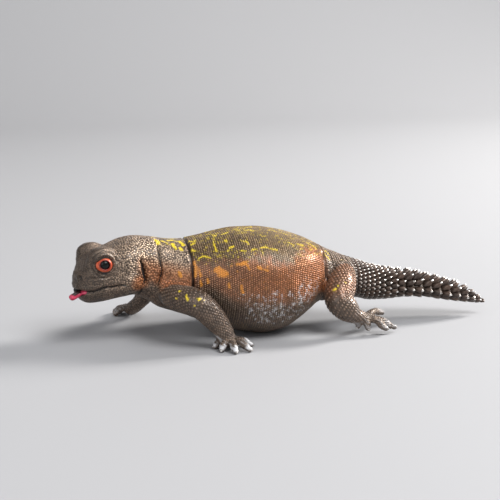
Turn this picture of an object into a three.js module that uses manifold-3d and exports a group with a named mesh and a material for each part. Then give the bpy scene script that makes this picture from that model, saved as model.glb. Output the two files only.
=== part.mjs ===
// A moulded, painted toy of a spiny-tailed lizard, 150 mm long and 35 mm high, walking with its head turned.
// Millimetres, +Z up. The head points to -X, the lizard's left side faces -Y, and the origin is the middle of
// the small flat under the belly, on which the toy rests together with its feet.
import * as THREE from "three";
import { mergeVertices } from "three/addons/utils/BufferGeometryUtils.js";
import Module from "manifold-3d";

const wasm = await Module();
wasm.setup();

// Driving dimensions
const GAP = 0.3;
const FAR = 60;
const FLOOR = 0;
const HEAD_PIVOT = new THREE.Vector3(-45, 0, 0);
const HEAD_TURN = THREE.MathUtils.degToRad(17);
const HEAD_END = -0.6;
const NECK_END = -26.9;
const TORSO_END = 19.5;
const HIPS_END = 31;
const TAIL_CUTS = [50, 66.5];
const TAIL_TIP = 82.6;
const TRUNK_SIDES = 26;
const HEAD_SIDES = 24;
const LIMB_SIDES = 10;
const TOE_SIDES = 6;

// Colours of the paint, each with its roughness and metalness
const PAINTS = {
  bronze: ["#5d5048", 0.5, 0.35],
  copper: ["#7a5540", 0.48, 0.35],
  olive: ["#5c5544", 0.5, 0.3],
  graphite: ["#4c433e", 0.45, 0.4],
  eye: ["#0c0a0a", 0.12, 0],
  tongue: ["#b0304a", 0.3, 0],
};

// Trunk stations: along the body x, sideways shift, height of the back, height of the belly, half width
const TRUNK = [
  [-53, 0, 32.0, 17.0, 7.6],
  [-46, 0, 34.2, 14.8, 8.9],
  [-41, 0, 33.9, 13.0, 9.3],
  [-36, 0, 33.3, 9.6, 10.1],
  [-32, 0, 32.7, 8.2, 11.2],
  [-28, 0, 32.5, 6.8, 12.8],
  [-22, 0, 33.2, 4.6, 15.6],
  [-16, 0, 34.3, 2.4, 18.2],
  [-9, 0, 35.2, 0.5, 20.1],
  [-2, 0, 35.1, -0.6, 20.8],
  [5, 0, 34.0, 0.5, 20.2],
  [10, 0, 32.6, 3.2, 18.3],
  [14.5, 0, 30.9, 6.2, 15.3],
  [18.5, 0, 28.9, 8.5, 11.8],
  [22, 0, 26.9, 8.9, 10.4],
  [27, 0, 24.7, 9.1, 9.2],
  [32, 0.2, 22.4, 9.0, 8.2],
  [38, 0.5, 19.6, 7.7, 7.2],
  [44, 0.8, 17.5, 7.5, 6.5],
  [50, 0.8, 15.7, 7.9, 5.8],
  [57, 0.5, 13.9, 7.8, 5.1],
  [64, 0, 12.1, 6.6, 4.4],
  [71, -0.6, 10.0, 5.4, 3.5],
  [77.5, -1.2, 7.4, 4.4, 2.2],
  [TAIL_TIP, -1.7, 4.9, 4.1, 0.45],
];

// Folds ringing the neck, the hips and the root of the tail: place, depth and half width
const FOLDS = [
  [-37.8, 0.9, 0.9],
  [-33.8, 0.35, 0.9],
  [NECK_END, 0.8, 0.55],
  [TORSO_END, 1.0, 0.9],
];
const FOLD_ON_BACK = 0.35;
const TRUNK_SQUARE = 0.89;

// Head stations from the neck forward: place, height of the crown, of the chin, of the widest part, half width
const SKULL = [
  [-8, 33.3, 16.5, 24, 7.0],
  [-2, 34.1, 14.9, 24, 9.3],
  [2, 33.7, 14.8, 23.5, 10.2],
  [5, 32.9, 14.6, 23, 10.1],
  [8.5, 31.9, 14.1, 22.5, 9.0],
  [12, 31.2, 13.6, 22.5, 7.9],
  [15, 30.7, 13.5, 22, 7.2],
  [16.8, 29.4, 13.7, 21.5, 6.6],
  [18.2, 27.2, 14.4, 21, 5.7],
  [19.4, 24.0, 15.6, 20, 4.5],
  [20.8, 21.0, 17.8, 19.3, 1.9],
];
const CROWN_SQUARE = 0.72;
const JAW_SQUARE = 0.88;
const EYE = { place: [12.7, 5.7, 27.1], radius: 2.75 };
const LID = { place: [12.8, 7.35, 27.2], radius: 2.25, tube: 0.6, lean: 0.2, toward: 0.22 };
const BROW = { place: [12.7, 4.3, 29.7], size: [4.9, 3.3, 3.0] };
const NOSTRIL = { place: [19.0, 3.2, 23.4], radius: 0.55 };
const EAR = { place: [1.1, 9.9, 24.2], size: [0.75, 1.3, 4.2] };
const LIP_DEPTH = 1.1;
const GAPE = { place: [18.9, 0.4, 18.0], size: [4.2, 3.6, 1.35] };
// The mouth line from its corner to the snout: place, height, half gap
const MOUTH = [
  [7.4, 20.1, 0.14],
  [10, 19.5, 0.16],
  [13, 19.2, 0.2],
  [16, 18.9, 0.55],
  [18.5, 18.4, 1.0],
  [22.5, 18.1, 1.35],
];
// The tongue's middle line with its half thickness
const TONGUE = [
  [14.6, 0.6, 17.9, 0.95],
  [18.2, 1.0, 17.75, 0.95],
  [20.6, 1.3, 17.1, 0.95],
  [22.3, 1.5, 16.3, 0.8],
];
const TONGUE_WIDTH = 2.0;

// Limbs by side: knots of x, y, z and radius for each length, then the paw's sole and its toe tips
const LIMBS = {
  front_left: {
    upper: [[-35, -6, 17.2, 4.7], [-31.2, -13.5, 16.0, 4.7], [-26.4, -19.5, 14.9, 4.4]],
    lower: [[-26.4, -19.5, 14.9, 4.35], [-21.8, -21.3, 10.3, 3.8], [-18.6, -22.3, 6.0, 3.0]],
    sole: [[-18.6, -22.3, 5.6, 2.9], [-17.3, -22.9, 2.8, 2.5]],
    toes: [[-21.9, -22.6, 0.5], [-20.5, -27.1, 0.5], [-16.3, -30.2, 0.5], [-11.2, -29.0, 0.5], [-9.5, -23.3, 0.5]],
    names: ["upper_arm_left", "forearm_left", "hand_left"],
  },
  front_right: {
    upper: [[-36, 6, 16.5, 4.4], [-35.5, 13.5, 14.0, 4.0], [-35.6, 19.2, 11.6, 3.4]],
    lower: [[-35.6, 19.2, 11.6, 3.3], [-37.6, 21.4, 7.9, 2.8], [-39.9, 23.2, 4.6, 2.3]],
    sole: [[-39.9, 23.2, 4.4, 2.2], [-41.5, 25.4, 2.8, 2.2]],
    toes: [[-38.6, 28.6, 0.9], [-40.4, 31.4, 0.5], [-44.0, 32.2, 0.5], [-46.9, 30.4, 0.5], [-47.2, 26.6, 0.6]],
    names: ["upper_arm_right", "forearm_right", "hand_right"],
  },
  hind_left: {
    upper: [[26.4, -5, 18.4, 5.2], [24.2, -11.5, 16.4, 5.3], [22.4, -17.0, 12.2, 4.7]],
    lower: [[22.4, -17.0, 11.6, 4.5], [24.8, -18.4, 9.2, 4.0], [27.6, -17.8, 6.8, 2.75]],
    sole: [[27.6, -17.8, 6.7, 2.55], [31.2, -17.0, 5.3, 2.3]],
    toes: [[28.2, -16.9, 3.2], [31.1, -19.4, 2.7], [38.2, -20.4, 1.9], [42.0, -18.0, 1.6], [40.4, -9.6, 4.8]],
    names: ["thigh_left", "shin_left", "foot_left"],
  },
  hind_right: {
    upper: [[26, 5, 18, 5.2], [20.5, 12.5, 16.4, 5.1], [14.2, 20.6, 13.2, 4.4]],
    lower: [[14.2, 20.6, 13.0, 4.2], [12.6, 24.0, 9.0, 3.3], [9.6, 25.6, 5.0, 2.5]],
    sole: [[9.6, 25.6, 4.7, 2.4], [7.0, 27.6, 2.6, 2.3]],
    toes: [[10.8, 32.6, 0.5], [7.6, 35.6, 0.5], [3.0, 36.8, 0.5], [-0.9, 33.4, 0.5], [0.6, 26.2, 0.5]],
    names: ["thigh_right", "shin_right", "foot_right"],
  },
};

// Tail whorls: distance to the next ring of spines, spine height and base radius, by place along the tail
const WHORLS = [
  [33, 3.3, 0.6, 1.25],
  [42, 3.6, 1.0, 1.5],
  [50, 3.9, 1.7, 1.75],
  [58, 4.1, 2.4, 1.85],
  [68, 4.0, 2.2, 1.6],
  [76, 3.0, 1.4, 1.15],
  [TAIL_TIP, 2.0, 0.6, 0.6],
];
const SPINE_ARC = THREE.MathUtils.degToRad(242);
const SPINE_LEAN = THREE.MathUtils.degToRad(50);
const SPINE_SIDES = 4;
const SPINE_SINK = 0.75;
const TOE_RADII = [1.35, 1.12, 0.92];
const CLAW_RADIUS = 0.55;
const KNUCKLE_RISE = 0.75;
const PALM_WIDTH = 1.25;

// A smooth curve through the rows of a table, by the first column, that never overshoots them
function track(rows) {
  const columns = rows[0].length - 1;
  const slopes = rows.map((row, i) => {
    const before = rows[i - 1];
    const after = rows[i + 1];
    if (!before || !after) return new Array(columns).fill(0);
    return row.slice(1).map((value, c) => {
      const a = (value - before[c + 1]) / (row[0] - before[0]);
      const b = (after[c + 1] - value) / (after[0] - row[0]);
      return a * b > 0 ? (2 * a * b) / (a + b) : 0;
    });
  });
  return (s) => {
    let i = 0;
    while (i < rows.length - 2 && s > rows[i + 1][0]) i++;
    const [a, b] = [rows[i], rows[i + 1]];
    const span = b[0] - a[0];
    const t = THREE.MathUtils.clamp((s - a[0]) / span, 0, 1);
    const ease = t * t * (3 - 2 * t);
    return a.slice(1).map((value, c) => {
      const rise = (b[c + 1] - value) * ease;
      const lift = t * (1 - t) * span * (slopes[i][c] * (1 - t) - slopes[i + 1][c] * t);
      return value + rise + lift;
    });
  };
}

// A closed body whose rings are placed one by one, from its first end to its last
function ringed(ringCount, sides, place) {
  const body = new THREE.SphereGeometry(1, sides, ringCount - 1);
  const position = body.getAttribute("position");
  for (let ring = 0; ring < ringCount; ring++) {
    for (let side = 0; side <= sides; side++) {
      const point = place(ring, ((side % sides) / sides) * 2 * Math.PI);
      position.setXYZ(ring * (sides + 1) + side, point.x, point.y, point.z);
    }
  }
  return body;
}

function solidOf(geometry) {
  const bare = geometry.clone().deleteAttribute("normal").deleteAttribute("uv");
  const merged = mergeVertices(bare, 1e-4);
  return new wasm.Manifold(
    new wasm.Mesh({
      numProp: 3,
      vertProperties: new Float32Array(merged.getAttribute("position").array),
      triVerts: new Uint32Array(merged.index.array),
    }),
  );
}

function geometryOf(solid) {
  const mesh = solid.getMesh();
  const stride = mesh.numProp;
  const points = new Float32Array(mesh.numVert * 3);
  for (let i = 0; i < mesh.numVert; i++) {
    points.set(mesh.vertProperties.subarray(i * stride, i * stride + 3), i * 3);
  }
  const geometry = new THREE.BufferGeometry();
  geometry.setAttribute("position", new THREE.BufferAttribute(points, 3));
  geometry.setIndex(new THREE.BufferAttribute(new Uint32Array(mesh.triVerts), 1));
  geometry.computeVertexNormals();
  return geometry;
}

const largest = (solid) =>
  solid.decompose().reduce((best, piece) => (piece.volume() > best.volume() ? piece : best));

// A block that fills the space on the far side of a plane, used to part the body
function beyond(point, normal) {
  const block = new THREE.BoxGeometry(2 * FAR, 2 * FAR, 2 * FAR);
  const turn = new THREE.Quaternion().setFromUnitVectors(new THREE.Vector3(1, 0, 0), normal);
  block.translate(FAR, 0, 0).applyQuaternion(turn).translate(point.x, point.y, point.z);
  return solidOf(block);
}

const AHEAD = new THREE.Vector3(-1, 0, 0);
const BACK = new THREE.Vector3(1, 0, 0);
const DOWN = new THREE.Vector3(0, 0, -1);
const behindX = (x) => beyond(new THREE.Vector3(x, 0, 0), BACK);
const beforeX = (x) => beyond(new THREE.Vector3(x, 0, 0), AHEAD);
const underFloor = beyond(new THREE.Vector3(0, 0, FLOOR), DOWN);

// Trunk
const trunkAt = track(TRUNK);
const foldDepth = (x) =>
  FOLDS.reduce((sum, [place, depth, width]) => sum + depth * Math.exp(-(((x - place) / width) ** 2)), 0);

// A point of the trunk's skin, with the angle counted from its left side over the back
function trunkPoint(x, angle, grow = 0) {
  const [shift, top, bottom, width] = trunkAt(x);
  const side = -Math.cos(angle);
  const up = Math.sin(angle);
  const fold = grow ? 0 : foldDepth(x) * (FOLD_ON_BACK + (1 - FOLD_ON_BACK) * Math.abs(side));
  const y = Math.sign(side) * Math.abs(side) ** TRUNK_SQUARE * (width + grow - fold);
  const z = Math.sign(up) * Math.abs(up) ** TRUNK_SQUARE * ((top - bottom) / 2 + grow - fold);
  return new THREE.Vector3(x, shift + y, (top + bottom) / 2 + z);
}

function trunkRings() {
  const first = TRUNK[0][0];
  const places = [first + 0.6];
  for (let x = first + 3; x < TAIL_TIP - 2; x += 2.9) places.push(x);
  for (const [place, , width] of FOLDS) {
    places.push(place - 1.4 * width, place - 0.6 * width, place + 0.6 * width, place + 1.4 * width);
  }
  places.push(TAIL_TIP - 0.5);
  places.sort((a, b) => a - b);
  return places.filter((x, i) => i === 0 || x - places[i - 1] > 0.3);
}

function trunk(grow = 0) {
  const places = trunkRings();
  const ends = [TRUNK[0][0], TAIL_TIP];
  return solidOf(
    ringed(places.length + 2, TRUNK_SIDES, (ring, angle) => {
      if (ring === 0 || ring === places.length + 1) {
        const x = ends[ring === 0 ? 0 : 1];
        const [shift, top, bottom] = trunkAt(x);
        return new THREE.Vector3(x, shift, (top + bottom) / 2);
      }
      return trunkPoint(places[ring - 1], angle, grow);
    }),
  );
}

// A rounded tube through knots of x, y, z and radius, its width stretched sideways by the flatness
function tube(knots, sides, rings, grow = 0, flatness = 1) {
  const path = new THREE.CatmullRomCurve3(knots.map(([x, y, z]) => new THREE.Vector3(x, y, z)));
  const radiusAt = track(knots.map((knot, i) => [i / (knots.length - 1), knot[3]]));
  const stages = [[0, -1, 0], [0, -0.7, 0.72]];
  for (let i = 0; i < rings; i++) stages.push([i / (rings - 1), 0, 1]);
  stages.push([1, 0.7, 0.72], [1, 1, 0]);
  let across = new THREE.Vector3(0, 0, 1).cross(path.getTangent(0)).normalize();
  const frames = stages.map(([t]) => {
    const along = path.getTangent(t);
    across = across.clone().addScaledVector(along, -across.dot(along)).normalize();
    return { along, across, up: along.clone().cross(across), centre: path.getPoint(t) };
  });
  return solidOf(
    ringed(stages.length, sides, (ring, angle) => {
      const [t, cap, share] = stages[ring];
      const { along, across: side, up, centre } = frames[ring];
      const radius = radiusAt(t)[0] + grow;
      const wide = (radiusAt(t)[0] * flatness + grow) * share;
      return centre
        .clone()
        .addScaledVector(along, cap * radius)
        .addScaledVector(side, -Math.cos(angle) * wide)
        .addScaledVector(up, Math.sin(angle) * radius * share);
    }),
  );
}

// An egg-shaped swelling or hollow
function egg([x, y, z], [a, b, c], sides = 12) {
  const shape = new THREE.SphereGeometry(1, sides, Math.round(sides * 0.6));
  return solidOf(shape.rotateX(Math.PI / 2).scale(a, b, c).translate(x, y, z));
}

const mirrored = ([x, y, z]) => [x, -y, z];
const bothSides = (part) => [part.place, mirrored(part.place)];

// Head, built looking along +X with its left at +Y, then turned to face forward
const headPlace = new THREE.Matrix4()
  .makeTranslation(HEAD_PIVOT)
  .multiply(new THREE.Matrix4().makeRotationZ(Math.PI + HEAD_TURN));
const headForward = new THREE.Vector3(1, 0, 0).transformDirection(headPlace);

function inHeadPlace(solid) {
  return solid.transform(headPlace.elements);
}

function skull(grow = 0) {
  const at = track(SKULL);
  const first = SKULL[0][0];
  const last = SKULL[SKULL.length - 1][0];
  const places = [];
  for (let x = first + 0.4; x < last - 4; x += 1.7) places.push(x);
  for (let x = last - 4; x < last; x += 0.75) places.push(x);
  places.push(last - 0.12);
  return solidOf(
    ringed(places.length + 2, HEAD_SIDES, (ring, angle) => {
      const inside = THREE.MathUtils.clamp(ring, 1, places.length);
      const x = ring === 0 ? first : ring > places.length ? last + grow : places[inside - 1];
      const [top, bottom, widest, width] = at(x);
      const reach = ring === 0 || ring > places.length ? 0 : 1;
      const side = -Math.cos(angle);
      const up = Math.sin(angle);
      const height = up > 0 ? top - widest : widest - bottom;
      const square = up > 0 ? CROWN_SQUARE : JAW_SQUARE;
      const y = Math.sign(side) * Math.abs(side) ** square * Math.max(0.1, width + grow) * reach;
      const z = Math.sign(up) * Math.abs(up) ** square * Math.max(0.1, height + grow) * reach;
      return new THREE.Vector3(x, y, widest + z);
    }),
  );
}

function lidRing([x, y, z]) {
  const side = Math.sign(y);
  const ring = new THREE.TorusGeometry(LID.radius, LID.tube, 6, 16);
  ring.scale(1.12, 0.96, 1).rotateZ(-side * 0.35).rotateX(side * (Math.PI / 2 + LID.lean));
  ring.rotateZ(-side * LID.toward);
  return solidOf(ring.translate(x, y, z));
}

// The lip line, cut only as deep as the lips are thick, and open in front where the tongue comes out
function mouthCut() {
  const upper = MOUTH.map(([x, z, half]) => new THREE.Vector2(x, z + half));
  const lower = MOUTH.map(([x, z, half]) => new THREE.Vector2(x, z - half)).reverse();
  const slab = new THREE.ExtrudeGeometry(new THREE.Shape([...upper, ...lower]), {
    depth: FAR / 2,
    bevelEnabled: false,
  });
  const lips = solidOf(slab.rotateX(Math.PI / 2).translate(0, FAR / 4, 0));
  return lips.subtract(skull(-LIP_DEPTH)).add(egg(GAPE.place, GAPE.size, 14));
}

const trunkSolid = trunk();
const tongue = inHeadPlace(tube(TONGUE, 10, 6, 0, TONGUE_WIDTH));
const tongueHollow = inHeadPlace(tube(TONGUE, 10, 6, GAP, TONGUE_WIDTH));
const eyes = bothSides(EYE).map((place) => egg(place, new Array(3).fill(EYE.radius), 14));
const eyeHollows = bothSides(EYE).map((place) => egg(place, new Array(3).fill(EYE.radius + GAP), 14));

function headSolid() {
  let head = skull();
  for (const place of bothSides(BROW)) head = head.add(egg(place, BROW.size, 14));
  for (const place of bothSides(LID)) head = head.add(lidRing(place));
  for (const place of bothSides(NOSTRIL)) {
    head = head.subtract(egg(place, new Array(3).fill(NOSTRIL.radius), 7));
  }
  for (const place of bothSides(EAR)) head = head.subtract(egg(place, EAR.size, 10));
  for (const hollow of eyeHollows) head = head.subtract(hollow);
  return inHeadPlace(head.subtract(mouthCut())).subtract(tongueHollow);
}

const headPlane = HEAD_PIVOT.clone().addScaledVector(headForward, HEAD_END);
const neckPlane = HEAD_PIVOT.clone().addScaledVector(headForward, HEAD_END - GAP);
const behindHead = beyond(headPlane, headForward.clone().negate());
const aheadOfNeck = beyond(neckPlane, headForward);

// Spines stand in rings round the tail and lean back, largest two thirds of the way to its tip
function tailSpines() {
  const spines = [];
  const whorlAt = track(WHORLS);
  for (let x = WHORLS[0][0]; x < TAIL_TIP - 1.2; x += whorlAt(x)[0]) {
    const [, height, base] = whorlAt(x);
    const [, top, bottom, width] = trunkAt(x);
    const girth = (SPINE_ARC / 2) * (width + (top - bottom) / 2);
    const count = Math.max(4, Math.round(girth / (2 * base)));
    for (let i = 0; i < count; i++) {
      const share = (i + 0.5) / count;
      const angle = Math.PI / 2 + (share - 0.5) * SPINE_ARC;
      spines.push(spine(x, angle, height, base));
    }
  }
  return spines;
}

function spine(x, angle, height, base) {
  const root = trunkPoint(x, angle);
  const [shift, top, bottom] = trunkAt(x);
  const out = root.clone().sub(new THREE.Vector3(x, shift, (top + bottom) / 2)).normalize();
  const lean = out.clone().multiplyScalar(Math.cos(SPINE_LEAN)).addScaledVector(BACK, Math.sin(SPINE_LEAN));
  const reach = height / Math.cos(SPINE_LEAN);
  const sink = SPINE_SINK * base;
  const cone = new THREE.ConeGeometry(base * 1.25, reach + sink, SPINE_SIDES);
  cone.rotateY(Math.PI / 4).translate(0, (reach + sink) / 2 - sink, 0);
  cone.applyQuaternion(new THREE.Quaternion().setFromUnitVectors(new THREE.Vector3(0, 1, 0), lean));
  return solidOf(cone.translate(root.x, root.y, root.z));
}

// Limbs
function toe(sole, tip) {
  const [x, y, z] = sole;
  const [tx, ty, tz] = tip;
  const along = (share) => [x + (tx - x) * share, y + (ty - y) * share];
  const knuckleHeight = (Math.max(z, tz + CLAW_RADIUS + KNUCKLE_RISE) + tz) / 2 + KNUCKLE_RISE;
  const knuckle = [...along(0.55), knuckleHeight, TOE_RADII[1]];
  const pad = [...along(0.85), tz + 0.45, TOE_RADII[2]];
  return tube([[x, y, z, TOE_RADII[0]], knuckle, pad, [tx, ty, tz, CLAW_RADIUS]], TOE_SIDES, 5);
}

function limbSolids({ upper, lower, sole, toes }, body) {
  const upperSolid = tube(upper, LIMB_SIDES, 6);
  const lowerSolid = tube(lower, LIMB_SIDES, 6);
  const palm = sole[sole.length - 1];
  let paw = tube(sole, LIMB_SIDES, 4, 0, PALM_WIDTH);
  for (const tip of toes) paw = paw.add(toe(palm, tip));
  return [
    upperSolid.subtract(body),
    lowerSolid.subtract(tube(upper, LIMB_SIDES, 6, GAP)).subtract(body),
    paw.subtract(tube(lower, LIMB_SIDES, 6, GAP)).subtract(body),
  ];
}

// Nodes
const group = new THREE.Group();

function addNode(name, solid, paint) {
  const [colour, roughness, metalness] = PAINTS[paint];
  const material = new THREE.MeshStandardMaterial({ color: colour, roughness, metalness });
  const mesh = new THREE.Mesh(geometryOf(largest(solid.subtract(underFloor))), material);
  mesh.name = name;
  group.add(mesh);
}

const lengthOf = (from, to) => trunkSolid.subtract(beforeX(from + GAP / 2)).subtract(behindX(to - GAP / 2));

addNode("head", headSolid().subtract(behindHead), "bronze");
for (const [name, solid] of [["eye_left", eyes[0]], ["eye_right", eyes[1]]]) {
  addNode(name, inHeadPlace(solid), "eye");
}
addNode("tongue", tongue, "tongue");
addNode("neck", trunkSolid.subtract(aheadOfNeck).subtract(behindX(NECK_END - GAP / 2)), "bronze");
addNode("torso", lengthOf(NECK_END, TORSO_END), "copper");
addNode("hips", lengthOf(TORSO_END, HIPS_END), "olive");

const spinyTrunk = wasm.Manifold.union([trunkSolid, ...tailSpines()]);
const tailEnds = [HIPS_END, ...TAIL_CUTS, FAR * 2];
["tail_base", "tail_middle", "tail_tip"].forEach((name, i) => {
  const cut = spinyTrunk.subtract(beforeX(tailEnds[i] + GAP / 2)).subtract(behindX(tailEnds[i + 1] - GAP / 2));
  addNode(name, cut, "graphite");
});

const clearTrunk = trunk(GAP);
for (const limb of Object.values(LIMBS)) {
  limbSolids(limb, clearTrunk).forEach((solid, i) => addNode(limb.names[i], solid, i ? "graphite" : "bronze"));
}

export default group;
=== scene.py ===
# %% [markdown]
# # A painted toy spiny-tailed lizard
# The real thing is one moulded figure of soft PVC, 150 mm long, sprayed and brushed with metallic paint.
# This notebook builds it around a set of plain solids that already have the right size and pose.
# Those solids hold the outline. The skin, the scales, the spines, the eyes and the paint are made here.

# %% Load the solids
import math

import bmesh
import bpy
import numpy as np
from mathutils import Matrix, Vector
from mathutils.bvhtree import BVHTree


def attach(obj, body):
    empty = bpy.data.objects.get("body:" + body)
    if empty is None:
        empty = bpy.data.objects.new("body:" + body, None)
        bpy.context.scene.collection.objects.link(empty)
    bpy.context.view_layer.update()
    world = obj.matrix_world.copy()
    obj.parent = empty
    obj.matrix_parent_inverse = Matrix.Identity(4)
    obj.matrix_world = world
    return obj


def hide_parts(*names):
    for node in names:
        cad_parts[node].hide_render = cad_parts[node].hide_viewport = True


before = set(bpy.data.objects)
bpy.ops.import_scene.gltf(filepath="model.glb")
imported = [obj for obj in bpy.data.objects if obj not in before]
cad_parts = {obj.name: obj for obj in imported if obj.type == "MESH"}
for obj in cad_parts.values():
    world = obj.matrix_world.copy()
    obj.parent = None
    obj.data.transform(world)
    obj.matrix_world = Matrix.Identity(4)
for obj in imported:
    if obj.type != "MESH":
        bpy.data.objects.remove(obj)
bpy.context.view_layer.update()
MM = 0.001
SEED = 7
SIDES = (1, -1)

# %% [markdown]
# ## Camera
# The picture was taken from the lizard's left, a little from the front and from above, with a long lens.
# A camera is placed on a sphere round the point it looks at, so that its angle is two plain numbers.

# %% Camera
LOOKS_AT = Vector((-2.7, 6.4, 26.0)) * MM
CAMERA_TURN, CAMERA_RISE = math.radians(-14), math.radians(12)
CAMERA_DISTANCE = 450 * MM
LENS = 93.9


def from_angles(turn, rise):
    """The direction from which something at these angles looks or shines."""
    return Vector((math.sin(turn) * math.cos(rise), -math.cos(turn) * math.cos(rise), math.sin(rise)))


bpy.ops.object.camera_add()
camera = bpy.context.object
camera.data.lens = LENS
away = from_angles(CAMERA_TURN, CAMERA_RISE)
camera.location = LOOKS_AT + away * CAMERA_DISTANCE
camera.rotation_euler = away.to_track_quat("Z", "Y").to_euler()
camera.data.clip_start, camera.data.clip_end = 0.01, 20
bpy.context.scene.camera = camera
print("camera at", [round(c, 3) for c in camera.location])

# %% [markdown]
# ## Smooth curves through a few measures
# A lizard's body changes gently along its length, so it is described by a table of stations.
# Each station gives a height or a width, and a curve that never overshoots joins them.

# %% Curve helpers


def track(rows):
    """A smooth curve through table rows, by their first column."""
    rows = np.array(rows, float)
    s, v = rows[:, 0], rows[:, 1:]
    rise = np.diff(v, axis=0) / np.diff(s)[:, None]
    slope = np.zeros_like(v)
    same = rise[:-1] * rise[1:] > 0
    total = np.where(same, rise[:-1] + rise[1:], 1)
    slope[1:-1] = np.where(same, 2 * rise[:-1] * rise[1:] / total, 0)

    def at(x):
        x = np.clip(np.asarray(x, float), s[0], s[-1])
        i = np.clip(np.searchsorted(s, x, side="right") - 1, 0, len(s) - 2)
        span = (s[i + 1] - s[i])[..., None]
        t = (x - s[i])[..., None] / span
        ease = t * t * (3 - 2 * t)
        return v[i] + (v[i + 1] - v[i]) * ease + t * (1 - t) * span * (slope[i] * (1 - t) - slope[i + 1] * t)

    return at


def curve_through(knots):
    """A centripetal curve through points."""
    p = np.array(knots, float)[:, :3]
    ends = np.vstack([2 * p[0] - p[1], p, 2 * p[-1] - p[-2]])

    def at(t):
        u = np.clip(np.asarray(t, float), 0, 1) * (len(p) - 1)
        i = np.minimum(u.astype(int), len(p) - 2)
        w = (u - i)[..., None]
        a, b, c, d = ends[i], ends[i + 1], ends[i + 2], ends[i + 3]
        ab, bc, cd = (np.sqrt(np.linalg.norm(q, axis=-1, keepdims=True)) for q in (b - a, c - b, d - c))
        start = ((b - a) / ab - (c - a) / (ab + bc) + (c - b) / bc) * bc
        stop = ((c - b) / bc - (d - b) / (bc + cd) + (d - c) / cd) * bc
        w2, w3 = w * w, w**3
        return b * (2 * w3 - 3 * w2 + 1) + start * (w3 - 2 * w2 + w) + c * (3 * w2 - 2 * w3) + stop * (w3 - w2)

    return at


def step(low, high, x):
    """A soft step from 0 at low to 1 at high."""
    t = np.clip((x - low) / (high - low), 0, 1)
    return t * t * (3 - 2 * t)


def bell(x, half):
    """A soft hump of 1 at zero that fades out past its half width."""
    return np.exp(-((x / half) ** 2))


def distance(v):
    return np.linalg.norm(v, axis=-1)


def unit(v):
    return v / np.maximum(np.linalg.norm(v, axis=-1, keepdims=True), 1e-9)


def mirrored(values, side):
    """The same places on the left (1) or the right (-1)."""
    return np.array(values) * [1, side, 1]


# %% [markdown]
# ## The body's measures
# These are the same measures as the solids have, in millimetres: stations of the trunk and tail,
# stations of the skull, and the joints of each leg with its toe tips.

# %% Measures of the trunk and skull
TAIL_TIP = 82.6
# x, shift to the side, top, bottom and half width
TRUNK = [
    [-53, 0, 32.0, 17.0, 7.6], [-46, 0, 34.2, 14.8, 8.9], [-41, 0, 33.9, 13.0, 9.3],
    [-36, 0, 33.3, 9.6, 10.1], [-32, 0, 32.7, 8.2, 11.2], [-28, 0, 32.5, 6.8, 12.8],
    [-22, 0, 33.2, 4.6, 15.6], [-16, 0, 34.3, 2.4, 18.2], [-9, 0, 35.2, 0.5, 20.1],
    [-2, 0, 35.1, -0.6, 20.8], [5, 0, 34.0, 0.5, 20.2], [10, 0, 32.6, 3.2, 18.3],
    [14.5, 0, 30.9, 6.2, 15.3], [18.5, 0, 28.9, 8.5, 11.8], [22, 0, 26.9, 8.9, 10.4],
    [27, 0, 24.7, 9.1, 9.2], [32, 0.2, 22.4, 9.0, 8.2], [38, 0.5, 19.6, 7.7, 7.2],
    [44, 0.8, 17.5, 7.5, 6.5], [50, 0.8, 15.7, 7.9, 5.8], [57, 0.5, 13.9, 7.8, 5.1],
    [64, 0, 12.1, 6.6, 4.4], [71, -0.6, 10.0, 5.4, 3.5], [77.5, -1.2, 7.4, 4.4, 2.2],
    [TAIL_TIP, -1.7, 4.9, 4.1, 0.45],
]
# x in the skull's own axes, top, bottom, height of the widest place and half width
SKULL = [
    [-8, 33.3, 16.5, 24, 7.0], [-2, 34.1, 14.9, 24, 9.3], [2, 33.7, 14.8, 23.5, 10.2],
    [5, 32.9, 14.6, 23, 10.1], [8.5, 31.9, 14.1, 22.5, 9.0], [12, 31.2, 13.6, 22.5, 7.9],
    [15, 30.7, 13.5, 22, 7.2], [16.8, 29.4, 13.7, 21.5, 6.6], [18.2, 27.2, 14.4, 21, 5.7],
    [19.4, 24.0, 15.6, 20, 4.5], [20.8, 21.0, 17.8, 19.3, 1.9],
]
TRUNK_SQUARE, CROWN_SQUARE, JAW_SQUARE = 0.89, 0.72, 0.88
HEAD_PIVOT, HEAD_TURN = np.array([-45.0, 0, 0]), math.radians(17)
BROW = {"place": [12.7, 4.3, 29.7], "size": [4.9, 3.3, 3.0]}
UNDER_BROW = {"place": [15.3, 3.9, 27.3], "size": [2.7, 2.5, 2.7]}
CHEEK = {"place": [3.2, 7.0, 21.4], "size": [5.6, 3.8, 4.2]}
SNOUT = {"place": [18.4, 0, 23.2], "size": [2.0, 3.9, 2.0]}
trunk_at, skull_at = track(TRUNK), track(SKULL)
print("stations", len(TRUNK), "skull stations", len(SKULL))

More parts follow.
